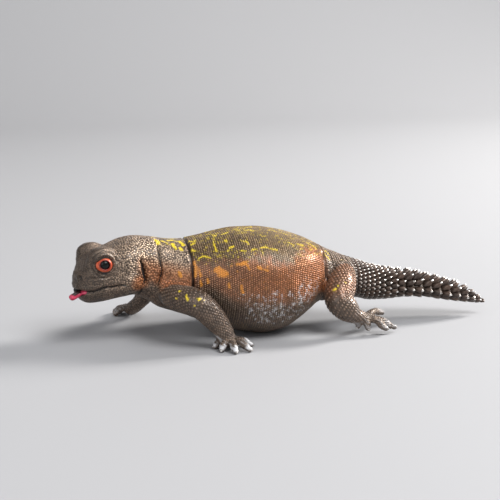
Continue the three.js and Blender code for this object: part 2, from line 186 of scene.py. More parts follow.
# %% Measures of the legs
# The joints as x, y, z and radius, then the toe tips
LEGS = {
    "front_left": (
        [[-35, -6, 16.7, 4.3], [-31.2, -13.5, 15.6, 4.4], [-26.4, -19.5, 14.8, 4.3],
         [-21.8, -21.3, 10.3, 3.8], [-18.6, -22.3, 5.8, 3.0], [-17.3, -22.9, 2.8, 2.5]],
        [[-21.9, -22.6, 0.5], [-20.5, -27.1, 0.5], [-16.3, -30.2, 0.5], [-11.2, -29.0, 0.5], [-9.5, -23.3, 0.5]],
    ),
    "front_right": (
        [[-36, 6, 16.5, 4.4], [-35.5, 13.5, 14.0, 4.0], [-35.6, 19.2, 11.6, 3.3],
         [-37.6, 21.4, 7.9, 2.8], [-39.9, 23.2, 4.6, 2.3], [-41.5, 25.4, 2.8, 2.2]],
        [[-38.6, 28.6, 0.9], [-40.4, 31.4, 0.5], [-44.0, 32.2, 0.5], [-46.9, 30.4, 0.5], [-47.2, 26.6, 0.6]],
    ),
    "hind_left": (
        [[26.4, -5, 18.4, 5.2], [24.2, -11.5, 16.4, 5.3], [22.4, -17.0, 12.0, 4.6],
         [24.8, -18.4, 9.2, 4.0], [27.6, -17.8, 6.9, 2.6], [31.2, -17.0, 5.6, 1.9]],
        [[28.4, -18.2, 2.6], [31.6, -20.2, 2.2], [38.2, -20.4, 1.9], [42.0, -18.0, 1.6], [40.4, -9.6, 4.8]],
    ),
    "hind_right": (
        [[26, 5, 18, 5.2], [20.5, 12.5, 16.4, 5.1], [14.2, 20.6, 13.1, 4.3],
         [12.6, 24.0, 9.0, 3.3], [9.6, 25.6, 5.0, 2.5], [7.0, 27.6, 2.6, 2.3]],
        [[10.8, 32.6, 0.5], [7.6, 35.6, 0.5], [3.0, 36.8, 0.5], [-0.9, 33.4, 0.5], [0.6, 26.2, 0.5]],
    ),
}
TOE_RADII = [1.25, 1.12, 1.04, 0.86]
PALM_WIDTH = 1.2
print("legs", len(LEGS))

# %% [markdown]
# ## Places on the body
# Each part of the body is a row of rings, so any place on it is given by how far along it lies and by an angle
# round it. The same functions later say where each scale sits.

# %% Rings of the trunk and the skull
HEAD_COS, HEAD_SIN = math.cos(math.pi + HEAD_TURN), math.sin(math.pi + HEAD_TURN)


def squared(value, power):
    """A sine or cosine bent so that its ring is a little squarer or rounder than a circle."""
    return np.sign(value) * np.abs(value) ** power


def trunk_point(x, angle, out=0.0):
    """A place on the trunk. The angle starts at the left side and goes over the back."""
    shift, top, bottom, width = np.moveaxis(trunk_at(x), -1, 0)
    y = squared(-np.cos(angle), TRUNK_SQUARE) * (width + out)
    z = squared(np.sin(angle), TRUNK_SQUARE) * ((top - bottom) / 2 + out)
    return np.stack([x + 0 * y, shift + y, (top + bottom) / 2 + z], -1)


def skull_point(x, angle, out=0.0):
    """A place on the skull, which looks along its own +X with its left at +Y."""
    top, bottom, widest, width = np.moveaxis(skull_at(x), -1, 0)
    side, up = -np.cos(angle), np.sin(angle)
    square = np.where(up > 0, CROWN_SQUARE, JAW_SQUARE)
    height = np.where(up > 0, top - widest, widest - bottom) + out
    y = squared(side, square) * (width + out)
    return np.stack([x + 0 * y, y, widest + squared(up, square) * height], -1)


def head_out(points):
    """From the skull's own axes to the toy's."""
    x, y, z = np.moveaxis(np.asarray(points, float), -1, 0)
    return np.stack([HEAD_COS * x - HEAD_SIN * y, HEAD_SIN * x + HEAD_COS * y, z], -1) + HEAD_PIVOT


def head_in(points):
    """From the toy's axes to the skull's own."""
    x, y, z = np.moveaxis(np.asarray(points, float) - HEAD_PIVOT, -1, 0)
    return np.stack([HEAD_COS * x + HEAD_SIN * y, -HEAD_SIN * x + HEAD_COS * y, z], -1)


print("trunk at its highest", trunk_point(np.array([-6.0]), np.array([math.pi / 2]))[0].round(1))

# %% Rings of a leg, a toe or the tongue
CAP_RINGS = 4


def tube_frames(knots, count):
    """Evenly parted places along a tube, with the directions along and across it and its radius."""
    t = np.linspace(0, 1, count)
    centre = curve_through(knots)(t)
    along = unit(np.gradient(centre, axis=0))
    across = unit(np.cross([0, 0, 1.0], along[0]))
    sides = []
    for direction in along:
        across = unit(across - direction * (across @ direction))
        sides.append(across)
    radius = track([[i / (len(knots) - 1), k[3]] for i, k in enumerate(knots)])(t)[:, 0]
    return centre, along, np.array(sides), np.cross(along, np.array(sides)), radius


def tube_rings(knots, count, sides, flat=1.0, swell=None):
    """Rings of a tube with round ends."""
    centre, along, across, up, radius = tube_frames(knots, count)
    if swell is not None:
        radius = radius * swell(np.linspace(0, 1, count))
    angle = np.linspace(0, 2 * math.pi, sides, endpoint=False)
    cap = np.linspace(math.pi / 2, 0, CAP_RINGS + 1)[:-1]
    rows = [(0, -math.sin(c), math.cos(c)) for c in cap] + [(i, 0, 1) for i in range(count)]
    rows += [(count - 1, math.sin(c), math.cos(c)) for c in cap[::-1]]
    rings = []
    for i, push, share in rows:
        wide, tall = radius[i] * flat * share, radius[i] * share
        ring = centre[i] + along[i] * push * radius[i]
        rings.append(ring - np.outer(np.cos(angle), across[i]) * wide + np.outer(np.sin(angle), up[i]) * tall)
    return np.array(rings)


# %% [markdown]
# ## Meshes from rings
# A ring of points joined to the next one makes a closed body once both ends have a cap.

# %% Mesh helpers


def new_mesh(name, points, faces, scale=MM):
    """An object from points in millimetres and faces that all have the same number of corners."""
    mesh = bpy.data.meshes.new(name)
    points, faces = np.asarray(points, float) * scale, np.asarray(faces)
    count, corners = faces.shape
    mesh.vertices.add(len(points))
    mesh.vertices.foreach_set("co", points.ravel())
    mesh.loops.add(count * corners)
    mesh.loops.foreach_set("vertex_index", faces.ravel().astype(np.int32))
    mesh.polygons.add(count)
    mesh.polygons.foreach_set("loop_start", np.arange(0, count * corners, corners, dtype=np.int32))
    mesh.update(calc_edges=True)
    piece = bpy.data.objects.new(name, mesh)
    bpy.context.collection.objects.link(piece)
    return piece


def ring_body(name, rings, scale=1.0):
    """A closed body over a list of rings. Its ends shrink to the middle of the first and last ring."""
    count, sides = rings.shape[:2]
    points = np.vstack([rings.reshape(-1, 3), rings[0].mean(0), rings[-1].mean(0)])
    row, col = np.meshgrid(np.arange(count - 1), np.arange(sides), indexing="ij")
    a, b = row * sides + col, row * sides + (col + 1) % sides
    quads = np.stack([a, b, b + sides, a + sides], -1).reshape(-1, 4)
    k, n = np.arange(sides), (np.arange(sides) + 1) % sides
    first, last = np.full(sides, count * sides), np.full(sides, count * sides + 1)
    rear = (count - 1) * sides
    caps = [np.stack([n, k, first], -1), np.stack([rear + k, rear + n, last], -1)]
    return new_mesh(name, points, np.vstack([quads[:, [0, 1, 2]], quads[:, [0, 2, 3]], *caps]), scale)


def only(*pieces):
    """Selects these pieces and nothing else, and makes the first one active."""
    bpy.ops.object.select_all(action="DESELECT")
    for piece in pieces:
        piece.select_set(True)
    bpy.context.view_layer.objects.active = pieces[0]


def merged(name, pieces):
    """Joins these pieces into one object of this name."""
    only(*pieces)
    bpy.ops.object.join()
    piece = bpy.context.object
    piece.name = piece.data.name = name
    return piece


def vectors(items, name):
    """One vector for each item of a mesh."""
    values = np.empty(len(items) * 3)
    items.foreach_get(name, values)
    return values.reshape(-1, 3)


def coordinates(mesh):
    return vectors(mesh.vertices, "co")


def normals_of(mesh):
    return vectors(mesh.vertex_normals, "vector")


def write_coordinates(mesh, points):
    mesh.vertices.foreach_set("co", np.ascontiguousarray(points).ravel())
    mesh.update()


def smooth(piece):
    piece.data.polygons.foreach_set("use_smooth", np.ones(len(piece.data.polygons), bool))


# %% [markdown]
# ## One skin
# On the toy the skin runs over the whole body without a break. So the trunk, skull, legs, toes and swellings
# are laid into each other as closed bodies and remeshed into one. The mesh is drawn in millimetres
# until it is finished, because the remesher is surer with larger numbers.

# %% Trunk, skull, legs and toes
SKIN_DEPTH = 0.18
TIP_HEIGHT, TIP_BACK = 0.5, 0.4
full_turn = np.linspace(0, 2 * math.pi, 96, endpoint=False)[None, :]
x_trunk = np.arange(-52.6, TAIL_TIP, 0.8)[:, None]
x_skull = np.concatenate([np.arange(-7.8, 18, 0.5), np.arange(18, 20.75, 0.2)])[:, None]
forms = [
    ring_body("trunk_form", trunk_point(x_trunk, full_turn, -SKIN_DEPTH)),
    ring_body("skull_form", head_out(skull_point(x_skull, full_turn, -SKIN_DEPTH))),
]


def knuckles(t):
    """How a toe swells at its joints."""
    return 1 + 0.11 * np.cos(2 * math.pi * (2.2 * t - 0.2)) * step(0.1, 0.35, t)


def toe_knots(sole, tip):
    """A toe's knots: out of the palm, over its arched knuckle and down to its tip."""
    tip = np.array(tip) + [0, 0, TOE_RADII[3] - TIP_HEIGHT]
    reach = tip - sole
    tip = tip - unit(reach) * TIP_BACK
    knuckle_height = (max(sole[2], tip[2] + 1.25) + tip[2]) / 2 + 0.85
    return [
        [*sole, TOE_RADII[0]],
        [*(sole + reach * 0.55)[:2], knuckle_height, TOE_RADII[1]],
        [*(sole + reach * 0.82)[:2], tip[2] + 0.55, TOE_RADII[2]],
        [*tip, TOE_RADII[3]],
    ]


TOES = []
for leg_name, (knots, tips) in LEGS.items():
    forms.append(ring_body(leg_name, tube_rings(knots, 40, 28)))
    forms.append(ring_body(leg_name + "_palm", tube_rings(knots[-2:], 8, 24, PALM_WIDTH)))
    for tip in tips:
        toe = toe_knots(np.array(knots[-1][:3]), tip)
        forms.append(ring_body(leg_name + "_toe", tube_rings(toe, 22, 16, 1.0, knuckles)))
        TOES.append((leg_name, toe))

# %% Swellings of the head, and one skin over all


def swelling(form, side=1):
    """A rounded mass under the skin of the head."""
    bpy.ops.mesh.primitive_uv_sphere_add(segments=40, ring_count=24, radius=1)
    mass = bpy.context.object
    points = coordinates(mass.data) * form["size"] + mirrored(form["place"], side)
    write_coordinates(mass.data, head_out(points))
    return mass


forms += [swelling(form, side) for form in (BROW, UNDER_BROW, CHEEK) for side in SIDES]
forms.append(swelling(SNOUT))
skin = merged("skin", forms)
skin.data.remesh_voxel_size = 0.44
skin.data.remesh_voxel_adaptivity = 0
skin.data.use_remesh_preserve_volume = False
bpy.ops.object.voxel_remesh()
print("forms", len(forms), "skin vertices", len(skin.data.vertices))

# %% [markdown]
# ## Soft joins
# A remeshed union has sharp valleys where a leg meets the body, and steps where the grid shows.
# Each vertex is moved towards its neighbours: a lot near a shoulder or hip, and elsewhere
# forward and back again, which takes out the steps and keeps the size.

# %% Smooth the skin
edges = np.empty(len(skin.data.edges) * 2, dtype=np.int64)
skin.data.edges.foreach_get("vertices", edges)
edges = edges.reshape(-1, 2)
NEIGHBOURS = np.bincount(edges.ravel(), minlength=len(skin.data.vertices))[:, None]


def relax(points, amount, rounds):
    """Moves points towards the middle of their neighbours."""
    a, b = edges.T
    count = len(points)
    for _ in range(rounds):
        total = [np.bincount(a, points[b, c], count) + np.bincount(b, points[a, c], count) for c in range(3)]
        points = points + (np.stack(total, -1) / NEIGHBOURS - points) * amount
    return points


GRID_ROUNDS, FORTH, BACK = 8, 0.5, -0.52
JOIN_ROUNDS, JOIN_AMOUNT = 24, 0.5
# Shoulders, hips, wrists and ankles: x, y, z and reach
JOINS = [
    [-35, -9, 16.5, 6], [-35.8, 9, 16, 6], [27, -9, 19, 4.5], [26, 9, 19, 4.5],
    [-17.3, -22.9, 2.8, 2.2], [-41.5, 25.4, 2.8, 2.2], [31.2, -17.0, 5.3, 2.2], [7.0, 27.6, 2.6, 2.2],
]
body = coordinates(skin.data)
for _ in range(GRID_ROUNDS):
    body = relax(relax(body, FORTH, 1), BACK, 1)
soft = np.zeros(len(body))
for *place, reach in JOINS:
    soft = np.maximum(soft, 1 - step(reach * 0.6, reach * 1.3, distance(body - place)))
neck_join = distance((body - head_out([-1.5, 0, 24])) / [3.2, 14, 14])
brow_join = np.minimum(*[distance(body - head_out(mirrored(BROW["place"], side))) for side in SIDES])
soft = np.maximum(soft, (1 - step(0.7, 1.2, neck_join)) * 0.6)
soft = np.maximum(soft, (1 - step(4.5, 8.5, brow_join)) * 0.2)
body = relax(body, JOIN_AMOUNT * soft[:, None], JOIN_ROUNDS)
write_coordinates(skin.data, body)
print("softened", int((soft > 0.1).sum()))

# %% [markdown]
# ## Folds
# The folds are pressed into the skin along curves that are given by a few points and then drawn down
# onto the surface. A negative depth raises a ridge instead. How dark a fold is painted is kept for each vertex.

# %% Curves of the folds
# Points, depth, half width, how dark, and how long the ends fade. They lie on both sides.
# These are in the skull's own axes: the mouth, lip ridge, chin, cheek line, three wrinkles round the eye,
# brow edge, ear slit, jaw edge and throat.
HEAD_FOLDS = [
    ([[20.9, 0.3, 18.4], [19.2, 3.5, 18.5], [15.8, 5.6, 18.7], [13.1, 7.4, 19.6], [10, 8.6, 19.6],
      [7.2, 9.1, 20.1], [5.6, 9.6, 20.5]], 0.9, 0.42, 1.0, 0.12),
    ([[20.0, 2.2, 19.6], [15.5, 6.2, 20.1], [12.2, 8.2, 20.9], [8.0, 9.2, 21.3]], -0.3, 0.45, 0, 0.12),
    ([[14, 6.6, 17.6], [10.6, 8.2, 18.2], [6.5, 9.0, 18.8]], -0.2, 0.5, 0, 0.12),
    ([[18.2, 5.6, 22.9], [14.5, 7.2, 23.0], [11.2, 8.2, 23.6], [8.6, 9.0, 23.4]], 0.45, 0.4, 0.6, 0.12),
    ([[16.6, 6.4, 24.6], [13.6, 7.8, 24.1], [10.8, 8.4, 24.7], [9.2, 8.4, 26.4]], 0.4, 0.3, 0.7, 0.12),
    ([[9.9, 7.6, 29.4], [8.2, 8.2, 27.9], [8.0, 8.9, 26.0], [8.8, 9.0, 24.3]], 0.38, 0.34, 0.8, 0.12),
    ([[8.6, 7.4, 30.0], [6.6, 8.7, 28.0], [6.3, 9.6, 25.4], [7.0, 9.8, 23.6]], 0.34, 0.34, 0.8, 0.12),
    ([[17.2, 5.0, 28.0], [14.6, 6.4, 29.1], [11.4, 6.9, 29.6], [9.0, 7.0, 29.4]], -0.25, 0.5, 0, 0.12),
    ([[1.2, 9.2, 28.8], [0.3, 9.8, 26.0], [-0.1, 9.9, 23.5], [-0.4, 9.6, 21.0], [0.0, 8.8, 18.7]],
     1.6, 0.75, 1.0, 0.12),
    ([[7.9, 9.2, 23.2], [4.2, 10.0, 21.4], [0.9, 9.5, 19.6]], -0.35, 0.6, 0, 0.12),
    ([[0.6, 8.6, 19.2], [-0.2, 6.8, 16.4], [0.4, 3.5, 14.4], [0.5, 0, 13.8]], 0.6, 0.6, 0.8, 0.12),
]
# These are in the toy's own axes: the neck and two creases before the shoulder
BODY_FOLDS = [
    ([[-37.4, -3.5, 32.4], [-37.2, -6.5, 30.1], [-36.6, -9.7, 24.0], [-37.8, -9.0, 19.2], [-38.5, -7.0, 13.5]],
     1.1, 0.5, 0.85, 0.35),
    ([[-40.6, -8.0, 17.5], [-39.6, -8.6, 14.5], [-38.6, -6.5, 11.5]], 0.35, 0.4, 0.7, 0.12),
    ([[-38.4, -9.3, 17.0], [-37.8, -9.2, 13.6], [-36.6, -6.6, 9.6]], 0.35, 0.4, 0.7, 0.12),
]
COLLAR_X, HIP_X = -26.9, 19.4
# Folds that ring the trunk: x, depth, half width, lowest and highest angle, and how dark
RING_FOLDS = [
    [COLLAR_X, 1.0, 0.36, 20, 181, 1.0], [HIP_X, 0.8, 0.5, 10, 150, 0.85],
    [22.6, 0.5, 0.42, 60, 165, 0.5], [26.4, 0.25, 0.42, 60, 165, 0.5], [28.6, 0.2, 0.42, 60, 165, 0.5],
]
print("folds", len(HEAD_FOLDS) + len(BODY_FOLDS) + len(RING_FOLDS))

# %% Press the folds
crease = np.zeros(len(body))


def surface():
    """A search tree over the skin as it is now, and its faces."""
    faces = np.empty(len(skin.data.loops), dtype=np.int64)
    skin.data.loops.foreach_get("vertex_index", faces)
    quads = faces.reshape(-1, 4)
    return BVHTree.FromPolygons(coordinates(skin.data).tolist(), quads.tolist()), quads


def path_distance(points, path, reach):
    """How far each point is from a polyline, and how far along it, within a reach."""
    near = np.where(np.all((points > path.min(0) - reach) & (points < path.max(0) + reach), axis=1))[0]
    best, where = np.full(len(near), 1e9), np.zeros(len(near))
    for i in range(len(path) - 1):
        a, d = path[i], path[i + 1] - path[i]
        t = np.clip((points[near] - a) @ d / max(d @ d, 1e-9), 0, 1)
        gap = distance(points[near] - a - t[:, None] * d)
        closer = gap < best
        best[closer] = gap[closer]
        where[closer] = (i + t[closer]) / (len(path) - 1)
    return near, best, where


def press(points, folds, axes):
    """Presses these folds, both left and right, into the skin as it is now."""
    tree, _ = surface()
    normals = normals_of(skin.data)
    for curve, depth, half, dark, fade in folds:
        for side in SIDES:
            path = curve_through(axes(mirrored(curve, side)))(np.linspace(0, 1, 40))
            path = np.array([tree.find_nearest(Vector(p))[0] for p in path])
            near, gap, where = path_distance(points, path, 4 * half)
            share = bell(gap, half) * (step(0, fade, where) * step(0, fade, 1 - where))
            points[near] -= normals[near] * (share * depth)[:, None]
            if depth > 0:
                crease[near] = np.maximum(crease[near], share * dark)
    return points


def around(points):
    """The angle round the trunk, 0 under the belly and 180 on the back, and the share of the trunk's radius."""
    shift, top, bottom, width = np.moveaxis(trunk_at(points[:, 0]), -1, 0)
    y = (points[:, 1] - shift) / width
    z = (points[:, 2] - (top + bottom) / 2) / ((top - bottom) / 2)
    return np.degrees(np.arctan2(np.abs(y), -z)), np.hypot(y, z)


body = press(coordinates(skin.data), HEAD_FOLDS, head_out)
write_coordinates(skin.data, body)
body = press(body, BODY_FOLDS, np.asarray)
normals = normals_of(skin.data)
for x, depth, half, lowest, highest, dark in RING_FOLDS:
    angle, share = around(body)
    weight = bell(body[:, 0] - x, half) * step(lowest - 8, lowest + 8, angle)
    weight = weight * (1 - step(highest - 10, highest, angle)) * (share < 1.18) * (share > 0.75)
    crease = np.maximum(crease, weight * dark)
    body = body - normals * (weight * depth)[:, None]
write_coordinates(skin.data, body)
print("creased vertices", int((crease > 0.3).sum()))

# %% [markdown]
# ## Eye sockets, nostrils and mouth
# The eye sits in a low socket with a soft ring of skin round the painted lid. The nostrils are
# small pits, and the mouth opens in front where the tongue comes out.

# %% Eye sockets and nostrils
EYE = {"place": [12.6, 5.75, 27.05], "radius": 2.55, "looks": [0.24, 1.0, 0.14]}
# Radius round the eye, how far the skin rises there, and half width
SOCKET_RINGS = [[0.0, -0.9, 2.2], [2.85, -0.4, 0.24], [3.45, 0.4, 0.4], [4.2, -0.26, 0.28], [4.9, 0.2, 0.4]]
NOSTRIL = {"place": [19.95, 2.75, 22.9], "radius": 0.66, "depth": 0.95}
NOSTRIL_RIM = {"radius": 1.25, "half": 0.45, "rise": 0.22}


def round_eye(inside, side):
    """For places in the head: the way from the eye, its share along the eye's look, and its share across."""
    axis = unit(mirrored(EYE["looks"], side))
    away = inside - mirrored(EYE["place"], side)
    along = away @ axis
    return away, along, distance(away - along[:, None] * axis)


normals = normals_of(skin.data)
inside_head = head_in(body)
for side in SIDES:
    away, along, ring = round_eye(inside_head, side)
    front = step(-0.5, 1.0, along) * (distance(away) < 8)
    for radius, rise, half in SOCKET_RINGS:
        lift = rise * bell(ring - radius, half) * front
        body += normals * lift[:, None]
        if rise < 0 and radius > 0:
            crease = np.maximum(crease, -lift * 2.2)
    pit = distance(inside_head - mirrored(NOSTRIL["place"], side))
    share = bell(pit, NOSTRIL["radius"])
    body -= normals * (share * NOSTRIL["depth"])[:, None]
    crease = np.maximum(crease, share)
    rim = bell(pit - NOSTRIL_RIM["radius"], NOSTRIL_RIM["half"])
    body += normals * (rim * NOSTRIL_RIM["rise"])[:, None]
write_coordinates(skin.data, body)

# %% Open the mouth
GAPE = {"place": np.array([19.3, 0.5, 17.9]), "size": np.array([4.6, 3.9, 0.95])}
inside_head = head_in(body)
lens = (inside_head - GAPE["place"]) / GAPE["size"]
depth = distance(lens)
inner = depth < 1
span = np.sqrt(np.maximum(1 - lens[:, 1] ** 2 - lens[:, 2] ** 2, 0))
inside_head[:, 0] = np.where(inner, GAPE["place"][0] - span * GAPE["size"][0], inside_head[:, 0])
crease = np.maximum(crease, np.where(inner, 1.0, 0.8 * (1 - step(1.0, 1.12, depth))))
body = relax(head_out(inside_head), 0.3 * inner[:, None], 4)
body[:, 2] = np.maximum(body[:, 2], 0.0)
write_coordinates(skin.data, body)
print("mouth vertices", int(inner.sum()))

# %% [markdown]
# ## Where a scale sits
# A scale needs a root on the skin, the direction that points out of the skin, the direction in which the
# scales lie, and a size. Rings of roots come from the body's own measures and are drawn down
# onto the skin. Roots that would be buried in another limb are dropped.

# %% Roots on the skin
SEARCH, SKIN_FACES = surface()
SKIN_NORMALS = normals_of(skin.data)
DEEPEST_FOLD, LEAST_FACING = 0.55, 0.25
SHEET_EDGE = 0.02
draw = np.random.default_rng(SEED)


def sheet(u, v):
    """A place on the unwrapped skin, clear of the sheet's edge."""
    return np.stack([SHEET_EDGE + (1 - 2 * SHEET_EDGE) * share for share in (u, v)], -1)


def roots(points, lie, size, uv, outward=None, most_gap=0.75, flat=1.0, tall=0.3):
    """Collects roots whose place really lies on the skin, and not in a fold."""
    found = [SEARCH.find_nearest(Vector(p)) for p in points.tolist()]
    face = SKIN_FACES[[f[2] for f in found]]
    normal, fold = unit(SKIN_NORMALS[face].mean(1)), crease[face].mean(1)
    lie = unit(lie - normal * (lie * normal).sum(1, keepdims=True))
    keep = (np.array([f[3] for f in found]) < most_gap) & (fold < DEEPEST_FOLD)
    if outward is not None:
        keep &= (normal * outward).sum(1) > LEAST_FACING
    size = np.broadcast_to(size, len(points)) * (1 - 0.35 * np.clip(fold, 0, 1))
    rows = {
        "place": np.array([f[0] for f in found]), "normal": normal, "lie": lie, "uv": uv,
        "long": size, "wide": size * flat, "tall": size * tall,
    }
    return {key: value[keep] for key, value in rows.items()}


def joined(parts):
    return {key: np.concatenate([p[key] for p in parts]) for key in parts[0]}


def thinned(spots, closest, taken):
    """Drops roots that stand closer to an earlier root than a share of their size."""
    keep = np.zeros(len(spots["place"]), bool)
    for i, (place, size) in enumerate(zip(spots["place"].tolist(), spots["long"].tolist())):
        x, y, z = (int(math.floor(c)) for c in place)
        reach = (size * closest) ** 2
        near = (
            p
            for a in (x - 1, x, x + 1)
            for b in (y - 1, y, y + 1)
            for c in (z - 1, z, z + 1)
            for p in taken.get((a, b, c), ())
        )
        if all((p[0] - place[0]) ** 2 + (p[1] - place[1]) ** 2 + (p[2] - place[2]) ** 2 > reach for p in near):
            taken.setdefault((x, y, z), []).append(place)
            keep[i] = True
    return {key: value[keep] for key, value in spots.items()}


# %% [markdown]
# ## Shapes of a scale
# Thousands of scales are needed, so each one is a simple closed form: a low dome for the grains of the
# body, a keeled one for the legs, and a long plate that ends in a raised point for the tail. They are
# drawn once, about one unit across, and their foot is sunk below the skin.

# %% Scale shapes
FOOT = -0.5


def dome(sides, shoulder, shift, rise):
    """A rounded scale: a sunk foot, a shoulder and a top that may lie towards the rear."""
    angle = (np.arange(sides) + 0.5) * 2 * math.pi / sides
    ring = np.stack([np.cos(angle), np.sin(angle), np.zeros(sides)], -1) / 2
    points = np.vstack([
        ring + [0, 0, FOOT],
        ring * [shoulder, shoulder, 0] + [shift * 0.6, 0, rise],
        [[shift, 0, 1]],
    ])
    k, n = np.arange(sides), (np.arange(sides) + 1) % sides
    faces = np.vstack([
        np.stack([k, n, n + sides], -1), np.stack([k, n + sides, k + sides], -1),
        np.stack([k + sides, n + sides, np.full(sides, 2 * sides)], -1),
        np.stack([np.zeros(sides - 2, int), k[2:], k[1:-1]], -1),
    ])
    return points, faces


def hull(points):
    """The closed form round a few points, all as triangles. A point off the middle stands on both sides."""
    form = bmesh.new()
    for x, y, z in points:
        for side in SIDES if y else (1,):
            form.verts.new((x, side * y, z))
    made = bmesh.ops.convex_hull(form, input=form.verts)
    spare = {g for g in made["geom_interior"] + made["geom_unused"] if isinstance(g, bmesh.types.BMVert)}
    bmesh.ops.delete(form, geom=list(spare), context="VERTS")
    bmesh.ops.triangulate(form, faces=form.faces)
    bmesh.ops.recalc_face_normals(form, faces=form.faces)
    form.verts.index_update()
    corners = np.array([v.co[:] for v in form.verts])
    faces = np.array([[v.index for v in f.verts] for f in form.faces])
    form.free()
    return corners, faces


GRAIN, SQUARE, BEAD = dome(6, 0.78, 0.08, 0.7), dome(4, 0.8, 0.02, 0.82), dome(7, 0.78, 0.05, 0.72)
KEELED = hull([
    (-0.5, 0, FOOT), (-0.35, 0.4, FOOT), (0.3, 0.46, FOOT), (0.5, 0, FOOT), (-0.4, 0, 0.1),
    (-0.1, 0.34, 0.3), (0, 0, 0.75), (0.34, 0, 1.0), (0.3, 0.26, 0.5), (0.52, 0, 0.55),
])
SPINE = hull([
    (-0.5, 0.44, -0.25), (0.4, 0.48, -0.3), (-0.48, 0.36, 0.1), (-0.1, 0.46, 0.22), (0.0, 0, 0.5),
    (0.25, 0.46, 0.42), (0.3, 0.22, 0.74), (0.38, 0.09, 1.0), (0.58, 0.06, 1.05), (0.47, 0.28, 0.7),
    (0.44, 0.49, 0.45),
])
print("triangles of a scale", [len(shape[1]) for shape in (GRAIN, SQUARE, BEAD, KEELED, SPINE)])

# %% [markdown]
# ## Rows of scales on the trunk
# On the flanks the scales stand in upright rows about 0.76 mm apart, each row a ring round the body.
# The rings are spaced along the swelling outline rather than along X, so that the rows stay even.

# %% Rings of roots


def run_of(points):
    """How far along a line of points each one lies."""
    return np.concatenate([[0], np.cumsum(distance(np.diff(points, axis=0)))])


def even_places(first, last, pitch):
    """Places along the trunk at an even distance over its skin."""
    x = np.linspace(first, last, 400)
    shift, top, bottom, width = np.moveaxis(trunk_at(x), -1, 0)
    radius = (width + (top - bottom) / 2) / 2
    length = np.concatenate([[0], np.cumsum(np.hypot(np.diff(x), np.diff(radius)))])
    return np.interp(np.arange(pitch / 2, length[-1], pitch), length, x)


def even_angles(x, pitch, start, multiple=1):
    """Angles round the trunk at an even distance over its skin."""
    angle = np.linspace(0, 2 * math.pi, 361)
    length = run_of(trunk_point(np.full(361, x), angle))
    count = max(4, multiple * int(round(length[-1] / pitch / multiple)))
    return np.interp((np.arange(count) + start) % count * length[-1] / count, length, angle)


def trunk_sheet(x, angle):
    """The root's place on the trunk's unrolled skin."""
    return sheet((x + 50) / (TAIL_TIP + 50), angle / (2 * math.pi))


def trunk_rows(first, last, pitch_along, pitch_round, across):
    """Roots in staggered rings round the trunk. Across is the width of a scale."""
    parts = []
    for i, x in enumerate(even_places(first, last, pitch_along)):
        angle = even_angles(x, pitch_round, (i % 2) * 0.5 + 0.25)
        angle += draw.normal(0, 0.03 * pitch_round / 15, len(angle))
        xs = np.full(len(angle), x) + draw.normal(0, 0.04, len(angle))
        points = trunk_point(xs, angle)
        outward = unit(points - trunk_point(xs, angle, -3.0))
        lie = trunk_point(xs + 0.5, angle) - points
        size = across * draw.uniform(0.92, 1.06, len(angle))
        parts.append(roots(points, lie, size, trunk_sheet(xs, angle), outward))
    return joined(parts)


torso_spots = trunk_rows(COLLAR_X + 0.55, HIP_X - 0.5, 0.76, 0.72, 0.76)
hip_spots = trunk_rows(HIP_X + 0.4, 30.6, 0.95, 0.95, 1.0)
print("torso scales", len(torso_spots["place"]), "hip scales", len(hip_spots["place"]))

# %% [markdown]
# ## Grains of the neck and head
# There the scales are irregular, like pebbles, largest on the cheek and small on the snout and lips.
# Spots are drawn at random over the skin and kept where there is room, which packs them as nature does.

# %% Pebbled roots
TRIES_PER_FACE, PEBBLES_APART = 5, 0.84


def pebble_size(points):
    """Width of a grain by its place on the head or neck."""
    inside = head_in(points)
    x, y, z = inside.T
    size = 0.66 + 0.14 * (1 - step(3, 9, x)) - 0.12 * step(-38.5, -36.5, points[:, 0])
    size = size - 0.1 * step(11, 18, x) - 0.1 * (1 - step(17, 19.5, z))
    for side in SIDES:
        size = size - 0.15 * (1 - step(4.2, 7, distance(inside - mirrored(EYE["place"], side))))
    return np.clip(size, 0.48, 1.0)


def pebbles():
    """Roots at random over the head and neck, clear of the eyes, nostrils and mouth."""
    corners = coordinates(skin.data)[SKIN_FACES]
    middle = corners.mean(1)
    _, share = around(middle)
    on_leg = (share > 1.16) & (middle[:, 0] > -42)
    faces = np.where((middle[:, 0] < COLLAR_X - 0.45) & ~on_leg)[0]
    faces = draw.permutation(np.repeat(faces, TRIES_PER_FACE))
    weights = draw.dirichlet([1, 1, 1, 1], len(faces))
    points = (corners[faces] * weights[:, :, None]).sum(1)
    inside = head_in(points)
    keep = distance((inside - GAPE["place"]) / GAPE["size"]) > 1.12
    for side in SIDES:
        _, along, ring = round_eye(inside, side)
        keep &= (ring > 2.9) | (along < 0.2)
        keep &= distance(inside - mirrored(NOSTRIL["place"], side)) > 0.85
    points, inside = points[keep], inside[keep]
    turn = (np.arctan2(inside[:, 1], inside[:, 2] - 23) / (2 * math.pi)) % 1
    uv = sheet((points[:, 0] + 68) / 42, turn)
    spots = roots(points, np.broadcast_to([1.0, 0, 0], points.shape), pebble_size(points), uv)
    spots = thinned(spots, PEBBLES_APART, {})
    ahead = head_in(spots["place"])[:, 0]
    collar = step(-37.5, -35.5, spots["place"][:, 0])
    spots["tall"] = spots["long"] * (0.12 + 0.12 * (1 - step(3, 11, ahead))) * (1 - 0.8 * collar)
    spots["long"] = spots["long"] * draw.uniform(1.16, 1.36, len(spots["long"]))
    spots["wide"] = spots["wide"] * draw.uniform(1.12, 1.28, len(spots["long"]))
    return spots


pebble_spots = pebbles()
print("head and neck grains", len(pebble_spots["place"]))

# %% [markdown]
# ## Scales of the legs
# The upper arm and thigh carry larger keeled scales in slanting rows. They get smaller towards the
# wrist, and on the toes they are smaller still. A root too near one that is already there is dropped.

# %% Rows round the legs
LEG_STEPS, SLANT = 240, 9


